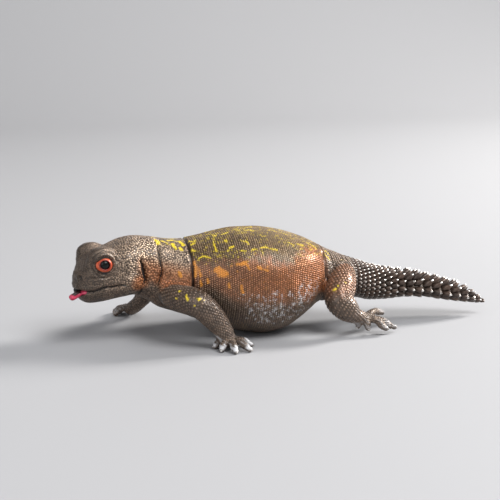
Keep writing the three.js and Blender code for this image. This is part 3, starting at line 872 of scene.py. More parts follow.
def leg_rows(knots, band, first, last, pitch_first, pitch_last, tall):
    """Roots in staggered rings along a leg or toe. The band says where on the unwrap they go."""
    centre, along, across, up, radius = tube_frames(knots, LEG_STEPS)
    length = run_of(centre)
    parts, s, row = [], length[-1] * first, 0
    while s < length[-1] * last:
        share = s / length[-1]
        pitch = pitch_first + (pitch_last - pitch_first) * share
        i = int(np.searchsorted(length, s))
        count = max(5, int(round(2 * math.pi * radius[i] / pitch)))
        angle = (np.arange(count) + (row % 2) * 0.5) / count * 2 * math.pi + draw.normal(0, 0.12 / count, count)
        slant = np.clip(i + (SLANT * np.cos(angle + 0.6)).astype(int), 0, LEG_STEPS - 1)
        out = -np.cos(angle)[:, None] * across[slant] + np.sin(angle)[:, None] * up[slant]
        points = centre[slant] + out * radius[slant, None]
        uv = sheet(np.full(count, (band + 0.9 * share) * 0.04), angle / (2 * math.pi))
        size = pitch * draw.uniform(0.98, 1.12, count)
        parts.append(roots(points, along[slant], size, uv, unit(out), 0.9, 1.0, tall))
        s += pitch * 0.92
        row += 1
    return joined(parts)


# From and to which share of the length, pitch there and there, and how tall for its size
LEG_ROWS, TOE_ROWS = (0.1, 1.0, 1.22, 0.78, 0.26), (0.12, 0.93, 0.74, 0.6, 0.2)
leg_spots = joined([leg_rows(knots, 6 * i, *LEG_ROWS) for i, (knots, _) in enumerate(LEGS.values())])
toe_spots = joined([leg_rows(toe, 1 + i + i // 5, *TOE_ROWS) for i, (_, toe) in enumerate(TOES)])
taken = {}
leg_spots = thinned(leg_spots, 0.62, taken)
toe_spots, torso_spots, hip_spots, pebble_spots = (
    thinned(spots, 0.6, taken) for spots in (toe_spots, torso_spots, hip_spots, pebble_spots)
)
print("leg scales", len(leg_spots["place"]), "toe scales", len(toe_spots["place"]))

# %% [markdown]
# ## Whorls of the tail
# The tail is ringed by whorls. Near the hips they are low rows of pointed bumps. From a third of the way along
# they are bands of long plates, each ending in a raised spine that leans back over the next band.
# Under the tail the plates lie flat.

# %% Tail whorls
# Place, distance to the next whorl, spine height and plate width
WHORLS = [
    [29.6, 1.35, 0.32, 1.15], [33, 1.65, 0.62, 1.35], [38, 1.9, 0.9, 1.5], [44, 2.4, 1.25, 1.7],
    [49, 3.2, 1.85, 1.9], [56, 3.5, 2.2, 2.1], [68, 3.6, 2.1, 1.95], [76, 2.7, 1.2, 1.45],
    [TAIL_TIP, 1.5, 0.35, 0.8],
]
UNDER_TAIL = math.radians(52)
RINGED_FROM = 46


def tail_whorls():
    """Roots of the tail's plates, whorl by whorl. In the rear whorls the spines stand in lines."""
    parts, x, row = [], WHORLS[0][0], 0
    whorl_at = track(WHORLS)
    while x < TAIL_TIP - 1.5:
        pitch, height, width = whorl_at(x)
        ringed = x > RINGED_FROM
        angle = even_angles(x, width, 0.0 if ringed else (row % 2) * 0.5, 4 if ringed else 1)
        over_back = (angle - math.pi / 2 + math.pi) % (2 * math.pi) - math.pi
        under = step(math.pi - UNDER_TAIL - 0.35, math.pi - UNDER_TAIL + 0.25, np.abs(over_back))
        many = len(angle)
        xs = np.full(many, x) + draw.normal(0, 0.05, many)
        points = trunk_point(xs, angle)
        outward = unit(points - trunk_point(xs, angle, -2.0))
        long = pitch * (0.85 + 0.1 * under - 0.11 * ringed) * draw.uniform(0.97, 1.03, many)
        wide = width * draw.uniform(0.98, 1.04, many)
        tall = height * (1 - 0.72 * under) * (1 + 0.42 * np.cos(over_back)) * draw.uniform(0.92, 1.1, many)
        lie = np.broadcast_to([1.0, 0, 0], points.shape)
        parts.append(roots(points, lie, long, trunk_sheet(xs, angle), outward, 0.75, wide / long, tall / long))
        x += pitch
        row += 1
    return joined(parts)


tail_spots = tail_whorls()
print("tail plates", len(tail_spots["place"]))

# %% [markdown]
# ## The paint's pattern
# The toy was sprayed and then touched by hand: an olive back with bright yellow flecks, copper flanks
# with a few orange dabs, silver flecks low on the sides, and pearl brushed over the raised scales.
# Masks for these are worked out at each vertex from its place on the body, so that the skin and the scales
# carry the same markings.

# %% Strokes of the brush
YELLOW, ORANGE, SILVER = 0, 1, 2
# On the lizard's left, by colour: half width, then x and angle (0 belly, 180 back) of each point
STROKES = [
    (YELLOW, [
        [0.42, -4.0, 139, -2.6, 139.5, -1.6, 138, 0.9, 136], [0.36, -24.4, 128, -23.1, 131, -20.8, 128],
        [0.3, -18.3, 161, -18.9, 151, -18.6, 139], [0.55, -18.7, 141, -18.5, 138],
        [0.45, -17.8, 171, -17.2, 170], [0.45, -26.2, 144, -25.4, 141],
        [0.4, -26.1, 168, -25.0, 163, -24.1, 167], [0.35, -25.9, 156, -24.6, 160],
        [0.45, -14.9, 155, -14.6, 151], [0.45, -15.0, 137, -14.0, 141, -13.0, 142],
        [0.36, -8.3, 149, -8.0, 144], [0.35, -9.6, 175, -8.5, 174],
        [0.4, -6.9, 172, -5.4, 173, -4.4, 170], [0.34, 1.2, 173, 2.8, 175, 3.9, 172],
        [0.34, -2.6, 157, -1.3, 158], [0.36, 3.3, 156, 4.6, 155], [0.34, 5.1, 172, 7.7, 168],
        [0.36, -15.0, 169, -12.9, 172], [0.34, -18.2, 175, -16.6, 174], [0.34, -10.8, 135, -9.3, 134],
        [0.34, -7.2, 136, -5.8, 137], [0.3, 6.2, 150, 7.4, 147], [0.3, 9.5, 150, 12.0, 148],
        [0.34, 14.0, 158, 17.0, 150],
    ]),
    (ORANGE, [
        [0.62, -12.8, 118, -11.6, 118, -9.9, 121], [0.42, -10.6, 121, -9.6, 116, -9.1, 112],
        [1.0, -19.6, 111, -18.1, 108, -16.9, 105.5], [0.8, -18.6, 113, -17.4, 110],
        [0.65, -26.2, 121, -25.6, 112, -26.4, 101], [0.4, -24.8, 112, -24.4, 103],
        [0.5, -12.0, 94.5, -11.6, 89.5], [0.5, -6.1, 115, -5.2, 113], [0.35, -4.4, 112, -3.2, 111],
        [0.42, -24.6, 96, -24.4, 91], [0.42, -22.4, 99, -22.3, 95], [0.4, -15.9, 96, -15.7, 92],
    ]),
    (YELLOW, [
        [0.75, -37.2, 166, -36.6, 156], [0.5, -35.0, 165, -33.6, 160], [0.5, -33.0, 170, -31.4, 174],
        [0.55, -31.9, 158, -31.2, 146], [0.55, -29.2, 170, -28.4, 156], [0.4, -29.8, 150, -29.3, 144],
    ]),
    (ORANGE, [[0.5, -31.0, 104, -30.6, 98]]),
    (YELLOW, [[0.34, 20.6, 158, 22.2, 150], [0.3, 20.4, 140, 21.4, 132]]),
]
# Yellow dabs on the legs: place and half width
LEG_DABS = [
    [-32.4, -17.6, 19.0, 0.6], [-30.7, -20.7, 18.0, 0.55], [-30.5, -21.6, 17.0, 0.5],
    [-26.9, -23.1, 17.0, 0.75], [-25.9, -23.0, 16.2, 0.65], [-29.3, -19.5, 18.6, 0.4],
    [-33.4, -18.2, 16.8, 0.4], [-28.4, -23.4, 15.2, 0.4],
    [20.4, -18.2, 16.4, 0.7], [21.4, -17.8, 17.4, 0.45], [20.7, -19.0, 15.6, 0.5], [23.4, -16.4, 18.9, 0.4],
    [24.0, -17.2, 18.1, 0.5], [-34.4, 16.0, 18.2, 0.6], [-35.0, 20.6, 15.0, 0.5], [18.0, 18.0, 19.2, 0.7],
    [15.0, 22.6, 17.0, 0.5],
]
# Fields of small flecks: how many, from x, to x, from angle, to angle, length, half width and colour
FIELDS = [
    (230, -26.3, 18.5, 129, 178, 1.3, 0.19, YELLOW), (60, -26.3, 18.5, 158, 184, 1.6, 0.22, YELLOW),
    (30, -26.3, -6, 118, 132, 0.9, 0.17, YELLOW), (34, -38.5, -28.2, 146, 184, 1.2, 0.24, YELLOW),
    (26, -26.0, -3, 92, 118, 0.9, 0.2, ORANGE), (110, -13.0, 15.5, 68, 90, 1.0, 0.2, SILVER),
    (90, -10.0, 13.0, 52, 76, 1.0, 0.22, SILVER), (50, 6.0, 16.0, 76, 98, 0.8, 0.18, SILVER),
    (14, 19.8, 31, 135, 180, 0.9, 0.16, YELLOW),
]
# How much silver each foot's toes carry. The far front hand, which lies in shadow, gets less of it as painted
# shade.
TOE_SILVER = {"front_left": 0.8, "front_right": 0.25, "hind_left": 0.3, "hind_right": 0.6}


def painted_strokes():
    """Every stroke as points, half width, colour, side and strength. The right side's are shifted a little."""
    left = [(np.reshape(rest, (-1, 2)), half, colour) for colour, rows in STROKES for half, *rest in rows]
    strokes = [(curve, half, colour, -1, 1.0) for curve, half, colour in left]
    rng = np.random.default_rng(SEED + 2)
    for curve, half, colour in left:
        shift = [rng.uniform(-1.6, 1.6), rng.uniform(-7, 7)]
        strokes.append(([[x + shift[0], min(a + shift[1], 186)] for x, a in curve], half, colour, 1, 1.0))
    return strokes


def small_flecks():
    """Seeded flecks: yellow over the back, silver low on the flanks and a few orange ones between."""
    rng = np.random.default_rng(SEED + 1)
    flecks = []
    for count, x0, x1, a0, a1, length, half, colour in FIELDS:
        for side in [-1] * count + [1] * count:
            x, angle = rng.uniform(x0, x1), rng.uniform(a0, a1)
            lean = rng.normal(0, 0.7)
            reach = length * rng.uniform(0.3, 1.1)
            dx, da = reach * math.cos(lean), math.degrees(reach * math.sin(lean) / 19)
            bend = rng.normal(0, 1.5)
            curve = [[x, angle], [x + dx / 2, angle + da / 2 + bend], [x + dx, angle + da]]
            flecks.append((curve, half * rng.uniform(0.7, 1.5), colour, side, rng.uniform(0.35, 0.8)))
    return flecks


# %% Masks of the strokes


def waves(points, size, phase=0.0):
    """A soft, cheap, seeded noise between -1 and 1."""
    rng = np.random.default_rng(SEED + int(phase * 100))
    total = np.zeros(len(points))
    for _ in range(6):
        direction = rng.normal(size=3) * 2 * math.pi / size / 1.7
        total += np.sin(points @ direction + rng.uniform(0, 2 * math.pi))
    return total / 3.0


def on_trunk(curve, side):
    """Places on the trunk's skin from x and angle, 0 at the belly and 180 on the back."""
    x, degrees = np.array(curve, float).T
    return trunk_point(x, np.radians(degrees - 90) if side < 0 else np.radians(270 - degrees))


def paint_strokes(points):
    """Yellow, orange and silver masks at these points."""
    order = np.argsort(points[:, 0])
    points = points[order]
    marks = np.zeros((len(points), 3))
    ragged = 1 + 0.3 * waves(points, 0.9) + 0.15 * waves(points, 0.45, 0.5) + 0.35 * waves(points, 2.4, 0.9)
    ragged = np.maximum(ragged, 0.25)
    broken = step(-0.45, 0.25, waves(points, 1.1, 0.7))
    for curve, half, colour, side, most in painted_strokes() + small_flecks():
        path = on_trunk(curve, side)
        if len(path) > 2:
            path = curve_through(path)(np.linspace(0, 1, 7))
        reach = half * 2
        first, last = np.searchsorted(points[:, 0], [path[:, 0].min() - reach, path[:, 0].max() + reach])
        near, gap, _ = path_distance(points[first:last], path, reach)
        near = near + first
        strength = most * (1 - step(0.75, 1.15, gap / (half * ragged[near])))
        if most < 1:
            strength = strength * broken[near]
        marks[near, colour] = np.maximum(marks[near, colour], strength)
    for *place, half in LEG_DABS:
        dab = 1 - step(0.75, 1.15, distance(points - place) / (half * ragged))
        marks[:, YELLOW] = np.maximum(marks[:, YELLOW], dab)
    for leg_name, toe in TOES:
        path = curve_through(toe)(np.linspace(0.2, 1, 9))
        near, gap, where = path_distance(points, path, 2.2)
        over = step(-0.4, 0.5, points[near, 2] - np.interp(where, np.linspace(0, 1, 9), path[:, 2]))
        strength = TOE_SILVER[leg_name] * step(0.3, 0.7, where + 0.3 * waves(points[near], 1.6)) * over
        marks[near, SILVER] = np.maximum(marks[near, SILVER], strength)
    back_in_order = np.empty_like(marks)
    back_in_order[order] = marks
    return back_in_order


# %% Masks of the sprayed zones


def paint_zones(points):
    """Copper, olive and pearl masks at these points. The pearl mask also carries painted highlights."""
    angle, share = around(points)
    x, _, z = points.T
    inside = head_in(points)
    soft, fine = waves(points, 9), waves(points, 2.6, 0.2)
    behind_collar, on_body = step(COLLAR_X - 0.6, COLLAR_X + 0.2, x), share < 1.2
    torso = behind_collar * (1 - step(HIP_X - 1, HIP_X + 1.5, x)) * on_body
    neck = step(-46, -41, x) * (1 - behind_collar) * on_body
    # Olive over the back
    back_line = 121 + 5 * soft + 6 * fine + 26 * step(4, 16, x)
    olive = torso * step(back_line - 9, back_line + 9, angle)
    # Copper on the flanks, the neck, behind the jaw and on the thighs
    low_line = 84 + 6 * soft - 14 * step(4, 16, x) + 6 * (1 - step(-22, -10, x))
    copper = torso * step(low_line - 14, low_line + 10, angle) * (1 - olive) * (0.55 + 0.3 * step(-18, 4, x))
    copper = copper + neck * step(66, 84, angle) * (1 - step(100, 126, angle)) * 0.72
    ear = distance((inside - [1.6, 0, 20.6]) / [3.6, 40, 3.0])
    copper = np.maximum(copper, (1 - step(0.5, 1.3, ear)) * (np.abs(inside[:, 1]) > 5) * (x < -38) * 0.92)
    thigh = (share > 1.15) * step(16, 19, x) * (1 - step(28, 33, x)) * step(12, 17, z)
    copper = np.maximum(copper, 0.36 * thigh)
    # Pearl on the tail, the neck, the crown and the legs, and less under the belly, with painted highlights high
    # on the rear flank and over the top of the neck
    pearl_and_painted_highlight = 0.34 + 0.1 * soft
    pearl_and_painted_highlight = pearl_and_painted_highlight + 0.6 * step(30, 37, x) * step(48, 90, angle)
    # The upper half of the neck gets more pearl as a painted highlight.
    pearl_and_painted_highlight = pearl_and_painted_highlight + 0.6 * neck * step(94, 112, angle)
    pearl_and_painted_highlight = pearl_and_painted_highlight + 0.4 * (x < -40) * (1 - step(5, 11, inside[:, 0])) * step(17, 21, z)
    # A pale patch high on the rear flank is a painted highlight.
    painted_highlight = distance(np.stack([(x - 8.2) / 6.0, (angle - 127) / 13], -1))
    pearl_and_painted_highlight = pearl_and_painted_highlight + torso * 0.7 * (1 - step(0.4, 1.25, painted_highlight + 0.2 * fine))
    pearl_and_painted_highlight = pearl_and_painted_highlight + 0.1 * (share > 1.2) * (x > -40)
    pearl_and_painted_highlight = pearl_and_painted_highlight * (0.45 + 0.55 * step(20, 60, angle))
    return np.clip(np.stack([copper, olive, pearl_and_painted_highlight], -1), 0, 1)


def painted_face_shade(points):
    """The face in front of the eyes is painted darker than the rest of the head, as painted shade."""
    return 0.6 * step(7, 15, head_in(points)[:, 0]) * (points[:, 0] < -45)


# %% [markdown]
# ## Joined meshes of scales
# All the scales of one part of the body become one mesh. Each carries how high a vertex stands on its scale,
# its paint masks, a random number of its own, and a small patch on the unwrapped skin.

# %% Build the coats
PATCH = 0.003


def give(mesh, name, values):
    """Stores one number or one colour for each vertex."""
    if np.ndim(values) == 1:
        layer = mesh.attributes.new(name, "FLOAT", "POINT")
        layer.data.foreach_set("value", np.asarray(values, np.float32))
    else:
        layer = mesh.attributes.new(name, "FLOAT_COLOR", "POINT")
        colours = np.concatenate([values, np.ones((len(values), 1))], 1)
        layer.data.foreach_set("color", colours.astype(np.float32).ravel())


def coat(name, spots, shape, facets=False):
    """Sets a copy of the shape on every root and joins them."""
    form, faces = shape
    across = np.cross(spots["normal"], spots["lie"])
    count, corners = len(spots["place"]), len(form)
    points = (
        spots["place"][:, None]
        + spots["lie"][:, None] * (form[:, 0] * spots["long"][:, None])[..., None]
        + across[:, None] * (form[:, 1] * spots["wide"][:, None])[..., None]
        + spots["normal"][:, None] * (form[:, 2] * spots["tall"][:, None])[..., None]
    ).reshape(-1, 3)
    points[:, 2] = np.maximum(points[:, 2], 0.0)
    all_faces = (faces[None] + (np.arange(count) * corners)[:, None, None]).reshape(-1, 3)
    piece = new_mesh(name, points, all_faces)
    mesh = piece.data
    uv = spots["uv"][:, None] + form[None, :, :2] * PATCH
    layer = mesh.uv_layers.new(name="OFBake")
    layer.data.foreach_set("uv", uv.reshape(-1, 2)[all_faces.ravel()].astype(np.float32).ravel())
    give(mesh, "relief", np.tile(np.clip(form[:, 2], 0, 1), count))
    give(mesh, "dice", np.repeat(draw.uniform(0, 1, count), corners))
    # The fold attribute of the scales carries only the painted shade of the face.
    give(mesh, "fold", painted_face_shade(points))
    give(mesh, "zones", paint_zones(points))
    give(mesh, "marks", paint_strokes(points))
    if not facets:
        smooth(piece)
    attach(piece, "root")
    return piece


angle, _ = around(torso_spots["place"])
torso_spots["tall"] = torso_spots["tall"] * (0.6 + 0.7 * step(40, 80, angle) - 0.3 * step(115, 140, angle))
torso_spots["long"] = torso_spots["long"] * 0.93
torso_spots["wide"] = torso_spots["wide"] * 1.06
coats = {
    "torso_scales": coat("torso_scales", torso_spots, SQUARE),
    "head_and_neck_scales": coat("head_and_neck_scales", pebble_spots, BEAD),
    "hip_scales": coat("hip_scales", hip_spots, GRAIN),
    "leg_scales": coat("leg_scales", leg_spots, KEELED),
    "toe_scales": coat("toe_scales", toe_spots, GRAIN),
    "tail_spines": coat("tail_spines", tail_spots, SPINE, True),
}
for name, piece in coats.items():
    print(name, len(piece.data.polygons), "triangles")

# %% Finish the skin
# From the ringed whorls back, the tail's skin is painted darker as the shade in the gaps between its plates.
# With the face's painted shade it joins the dark of the folds.
SKIN_RELIEF, TAIL_PAINTED_SHADE = 0.4, 0.6
painted_shade = np.maximum(TAIL_PAINTED_SHADE * step(44, 50, body[:, 0]), painted_face_shade(body))
give(skin.data, "zones", paint_zones(body))
give(skin.data, "marks", paint_strokes(body))
give(skin.data, "relief", np.full(len(body), SKIN_RELIEF))
give(skin.data, "fold", np.clip(np.maximum(crease, painted_shade), 0, 1))
write_coordinates(skin.data, body * MM)
smooth(skin)
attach(skin, "root")
LIMBS = (("upper_arm", "forearm", "hand"), ("thigh", "shin", "foot"))
FLESH = [f"{part}_{side}" for limb in LIMBS for side in ("left", "right") for part in limb]
FLESH += ["head", "neck", "torso", "hips", "tail_base", "tail_middle", "tail_tip"]
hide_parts(*FLESH)

# %% [markdown]
# ## Eyes and lids
# Each eye is a gloss black ball, set deep. A lid, painted orange-red, rings it like a thick almond.
# The lid starts as a torus, is turned and flattened, drawn out at its front corner and laid onto the ball.

# %% Eyes
LID_WIDTH, LID_FLAT, LID_TILT, LID_CORNER = 2.12, 0.9, 0.35, -0.55


def lid_places(ring, corner, side):
    """Lays a flat ring of points round the eye and onto its ball."""
    axis = unit(mirrored(EYE["looks"], side))
    front = unit(np.cross([0, 0, 1.0], axis) * -side)
    front = unit(front - axis * (front @ axis))
    top = unit(np.cross(axis, front) * side)
    top = top if top[2] > 0 else -top
    turn, radius = np.arctan2(ring[:, 1], ring[:, 0]), np.hypot(ring[:, 0], ring[:, 1])
    wide = LID_WIDTH * (radius + 0.14 * corner * (radius > 1))
    u, v = wide * np.cos(turn), wide * np.sin(turn) * LID_FLAT
    forward = u * math.cos(LID_TILT) - v * math.sin(LID_TILT)
    upward = u * math.sin(LID_TILT) + v * math.cos(LID_TILT)
    sit = np.sqrt(np.maximum((EYE["radius"] * 1.02) ** 2 - np.minimum(forward**2 + upward**2, 5.6), 0.04))
    height = sit + ring[:, 2] * 1.9
    centre = mirrored(EYE["place"], side)
    return centre + axis * height[:, None] + front * forward[:, None] + top * upward[:, None]


for side, node in ((1, "eye_left"), (-1, "eye_right")):
    bpy.ops.object.select_all(action="DESELECT")
    bpy.ops.mesh.primitive_uv_sphere_add(segments=48, ring_count=32, radius=1)
    eye = bpy.context.object
    eye.name = eye.data.name = node + "_ball"
    ball = coordinates(eye.data) * EYE["radius"] * 0.93
    write_coordinates(eye.data, head_out(ball + mirrored(EYE["place"], side)) * MM)
    smooth(eye)
    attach(eye, "root")
    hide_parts(node)
    bpy.ops.object.select_all(action="DESELECT")
    bpy.ops.mesh.primitive_torus_add(major_segments=72, minor_segments=20, major_radius=1, minor_radius=0.25)
    lid = bpy.context.object
    lid.name = lid.data.name = node + "_lid"
    ring = coordinates(lid.data)
    corner = bell(np.arctan2(ring[:, 1], ring[:, 0]) - LID_CORNER, 0.5)
    write_coordinates(lid.data, head_out(lid_places(ring, corner, side)) * MM)
    give(lid.data, "corner", corner)
    give(lid.data, "inner", 1 - step(0.88, 1.04, np.hypot(ring[:, 0], ring[:, 1])))
    if side < 0:
        lid.data.flip_normals()
    smooth(lid)
    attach(lid, "root")

# %% [markdown]
# ## Tongue
# The tongue comes out to the lizard's left, thick and flat, pink along its edges and painted dark on top as
# shade, with a second fold of pink behind. It is a flattened tube whose top is hollowed and whose middle is
# drawn in.

# %% Tongue
TONGUE = [[14.4, 1.9, 18.0, 0.8], [17.4, 2.5, 18.0, 1.15], [19.8, 1.8, 17.5, 1.0], [22.2, 1.5, 16.45, 1.0]]
TONGUE_WIDTH = 1.75
tongue = ring_body("tongue_painted", head_out(tube_rings(TONGUE, 40, 40, TONGUE_WIDTH)), MM)
points = coordinates(tongue.data) / MM
centre, _, across, _, radius = tube_frames([[*head_out(k[:3]), k[3]] for k in TONGUE], 60)
near = np.argmin(((points[:, None] - centre[None]) ** 2).sum(-1), axis=1)
offset = points - centre[near]
sideways = (offset * across[near]).sum(1) / (radius[near] * TONGUE_WIDTH)
height = offset[:, 2] / radius[near]
share = near / (len(centre) - 1)
groove = step(-0.1, 0.5, height) * bell(sideways, 0.42) * (0.5 * step(0.5, 0.8, share))
waist = bell(share - 0.56, 0.09) * 0.28
points[:, 2] -= groove
points -= offset * waist[:, None]
write_coordinates(tongue.data, points * MM)
# The top of the tongue, from its middle to near its tip, is painted dark as shade.
dark = step(-0.4, 0.15, height) * step(0.5, 0.62, share) * (1 - step(0.88, 0.99, share))
give(tongue.data, "top", dark * (1 - step(0.8, 1.0, np.abs(sideways))))
smooth(tongue)
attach(tongue, "root")
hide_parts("tongue")

# %% [markdown]
# ## Claws
# Every toe ends in a short blunt claw that was touched with silver paint. Each is a short tube that narrows
# and bends down a little, set in line with its toe.

# %% Claws
# How far ahead of the toe's tip, how far above it, and the radius
CLAW = [(-0.4, 0.1, 0.62), (0.35, 0.02, 0.6), (0.6, -0.12, 0.46)]
claw_parts = []
for _, toe in TOES:
    centre, along, *_ = tube_frames(toe, 40)
    ahead = unit(along[-1] * [1, 1, 0.25])
    path = [[*(centre[-1] + ahead * reach + [0, 0, lift]), thick] for reach, lift, thick in CLAW]
    claw_parts.append(ring_body("claw", tube_rings(path, 10, 12), MM))
claws = merged("claws", claw_parts)
points = coordinates(claws.data)
points[:, 2] = np.maximum(points[:, 2], 0)
write_coordinates(claws.data, points)
smooth(claws)
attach(claws, "root")
print("claws", len(claw_parts))

# %% [markdown]
# ## Paint as materials
# All the painted PVC shares one effect: a dark wash stays in the hollows, the ground colour shows on the slopes
# and a pale metallic brush catches the tops. That effect is a node group, built once. Each
# material places it with its own colours.

# %% Node helpers


class Nodes:
    """Short names for adding and linking nodes in one tree."""

    def __init__(self, tree):
        self.tree = tree

    def add(self, kind, **settings):
        node = self.tree.nodes.new(kind)
        for key, value in settings.items():
            setattr(node, key, value)
        return node

    def put(self, socket, value):
        if isinstance(value, bpy.types.NodeSocket):
            self.tree.links.new(value, socket)
        else:
            socket.default_value = value

    def fill(self, node, values):
        for key, value in values.items():
            self.put(node.inputs[key], value)
        return node

    def mix(self, factor, a, b, blend="MIX"):
        node = self.add("ShaderNodeMix", data_type="RGBA", blend_type=blend)
        return self.fill(node, {0: factor, 6: a, 7: b}).outputs[2]

    def math(self, operation, a, b, clamp=False):
        node = self.add("ShaderNodeMath", operation=operation, use_clamp=clamp)
        return self.fill(node, {0: a, 1: b}).outputs[0]

    def times(self, a, b, clamp=False):
        return self.math("MULTIPLY", a, b, clamp)

    def plus(self, a, b):
        return self.math("ADD", a, b)

    def ramp(self, value, low, high, to_low=0.0, to_high=1.0):
        node = self.add("ShaderNodeMapRange", interpolation_type="SMOOTHSTEP")
        return self.fill(node, {0: value, 1: low, 2: high, 3: to_low, 4: to_high}).outputs[0]

    def noise(self, scale):
        place = self.add("ShaderNodeTexCoord").outputs["Object"]
        node = self.add("ShaderNodeTexNoise")
        values = {"Vector": place, "Scale": scale, "Detail": 3.0, "Roughness": 0.55}
        return self.fill(node, values).outputs["Fac"]

    def mottled(self, scale, low, high, dark, pale):
        """Two tones of one paint, in uneven patches."""
        return self.mix(self.ramp(self.noise(scale), low, high), dark, pale)

    def attribute(self, name, output="Fac"):
        return self.add("ShaderNodeAttribute", attribute_name=name).outputs[output]

    def parts(self, colour):
        return self.fill(self.add("ShaderNodeSeparateColor"), {0: colour}).outputs


def colour(red, green, blue):
    """A colour from 0 to 255 values, as the shader wants it."""
    values = [c / 255 for c in (red, green, blue)]
    return [c / 12.92 if c <= 0.04045 else ((c + 0.055) / 1.055) ** 2.4 for c in values] + [1.0]


OLIVE, COPPER, PEARL = colour(120, 98, 66), colour(184, 118, 72), colour(216, 190, 162)
PEARL_ON_COPPER, WHITE_SILVER = colour(230, 170, 122), colour(236, 232, 226)
YELLOW_PAINT, ORANGE_PAINT, SILVER_PAINT = colour(226, 198, 40), colour(216, 142, 44), colour(232, 232, 234)
WASH, FOLD_AND_SHADE_DARK = colour(38, 30, 26), colour(14, 11, 10)
DULL, BRIGHT = colour(66, 58, 52), colour(204, 188, 172)

# %% The brushed paint group
INPUTS = ("Ground", "Zones", "Marks", "Relief", "Fold", "Dice", "Brush", "Brush color", "Brush from", "Wash")
OUTPUTS = ("Color", "Roughness", "Metallic", "Height")
COLOURED = ("Ground", "Zones", "Marks", "Brush color", "Color")
brushed = bpy.data.node_groups.new("Brushed paint", "ShaderNodeTree")
for way, names in (("INPUT", INPUTS), ("OUTPUT", OUTPUTS)):
    for name in names:
        kind = "NodeSocketColor" if name in COLOURED else "NodeSocketFloat"
        brushed.interface.new_socket(name, in_out=way, socket_type=kind)
n = Nodes(brushed)
given, result = n.add("NodeGroupInput").outputs, n.add("NodeGroupOutput")
relief, dice = given["Relief"], given["Dice"]
copper, olive, pearl_and_painted_highlight = n.parts(given["Zones"])[:3]
yellow, orange, silver = n.parts(given["Marks"])[:3]
patch, grain = n.noise(260), n.noise(1500)

# The sprayed ground, a little different on each scale, with the wash in its hollows
ground = n.mix(copper, n.mix(olive, given["Ground"], OLIVE), COPPER)
varied = n.plus(n.times(dice, 0.6), n.times(patch, 0.9))
ground = n.mix(0.6, ground, n.mix(n.ramp(varied, 0.25, 1.2), DULL, BRIGHT), "OVERLAY")
crest = n.ramp(n.plus(relief, n.times(grain, 0.3)), 0.1, 0.85)
painted = n.mix(crest, n.mix(given["Wash"], ground, WASH), ground)

# The pale brush over the tops, which also lays on the painted highlights held in the pearl mask
raised = n.plus(relief, n.math("SUBTRACT", n.times(grain, 0.2), 0.1))
brush = n.times(n.times(pearl_and_painted_highlight, given["Brush"]), n.ramp(raised, given["Brush from"], 1.0))
brush = n.times(brush, n.ramp(n.plus(grain, n.times(dice, 0.3)), 0.35, 0.8), clamp=True)
painted = n.mix(brush, painted, n.mix(copper, given["Brush color"], PEARL_ON_COPPER))

# The strokes and flecks, then the dark of the folds, which also lays on the painted shade of the face and of the
# tail's gaps
over = n.ramp(n.plus(relief, n.times(grain, 0.5)), 0.3, 0.62)
for mask, paint in ((silver, SILVER_PAINT), (orange, ORANGE_PAINT), (yellow, YELLOW_PAINT)):
    painted = n.mix(n.times(mask, over), painted, paint)
painted = n.mix(n.ramp(given["Fold"], 0.3, 0.95), painted, FOLD_AND_SHADE_DARK)

# The flecks are plain paint, and the rest is metallic
marked = n.times(n.math("MAXIMUM", yellow, n.math("MAXIMUM", orange, silver)), over)
plain = n.math("SUBTRACT", 1.0, marked, True)
metallic = n.plus(n.times(brush, 0.25), n.plus(0.45, n.times(copper, 0.15)))
n.fill(result, {
    "Color": painted,
    "Metallic": n.times(metallic, plain, clamp=True),
    "Roughness": n.math("SUBTRACT", n.ramp(grain, 0.2, 0.8, 0.3, 0.42), n.times(brush, 0.08)),
    "Height": n.times(grain, 0.5),
})
print("group sockets", [s.name for s in brushed.interface.items_tree])

# %% Materials of painted PVC


def new_material(name):
    """A material, its nodes and its shader."""
    material = bpy.data.materials.new(name)
    material.use_nodes = True
    return material, Nodes(material.node_tree), material.node_tree.nodes["Principled BSDF"]


def painted_pvc(name, ground, brush, brush_colour, brush_from, wash):
    """Painted PVC with the brushed effect, under a thin clear coat."""
    material, m, shader = new_material(name)
    group = m.fill(m.add("ShaderNodeGroup", node_tree=brushed), {
        "Ground": ground, "Brush": brush, "Brush color": brush_colour, "Brush from": brush_from, "Wash": wash,
        "Zones": m.attribute("zones", "Color"), "Marks": m.attribute("marks", "Color"),
        "Relief": m.attribute("relief"), "Fold": m.attribute("fold"), "Dice": m.attribute("dice"),
    }).outputs
    bump = m.fill(m.add("ShaderNodeBump"), {"Strength": 0.25, "Distance": 0.0003, "Height": group["Height"]})
    m.fill(shader, {
        "Base Color": group["Color"], "Roughness": group["Roughness"], "Metallic": group["Metallic"],
        "Normal": bump.outputs["Normal"], "Coat Weight": 0.35, "Coat Roughness": 0.22,
    })
    return material


BRONZE_GROUND, GRAPHITE_GROUND, TAIL_GROUND = colour(112, 96, 84), colour(88, 76, 68), colour(86, 71, 62)
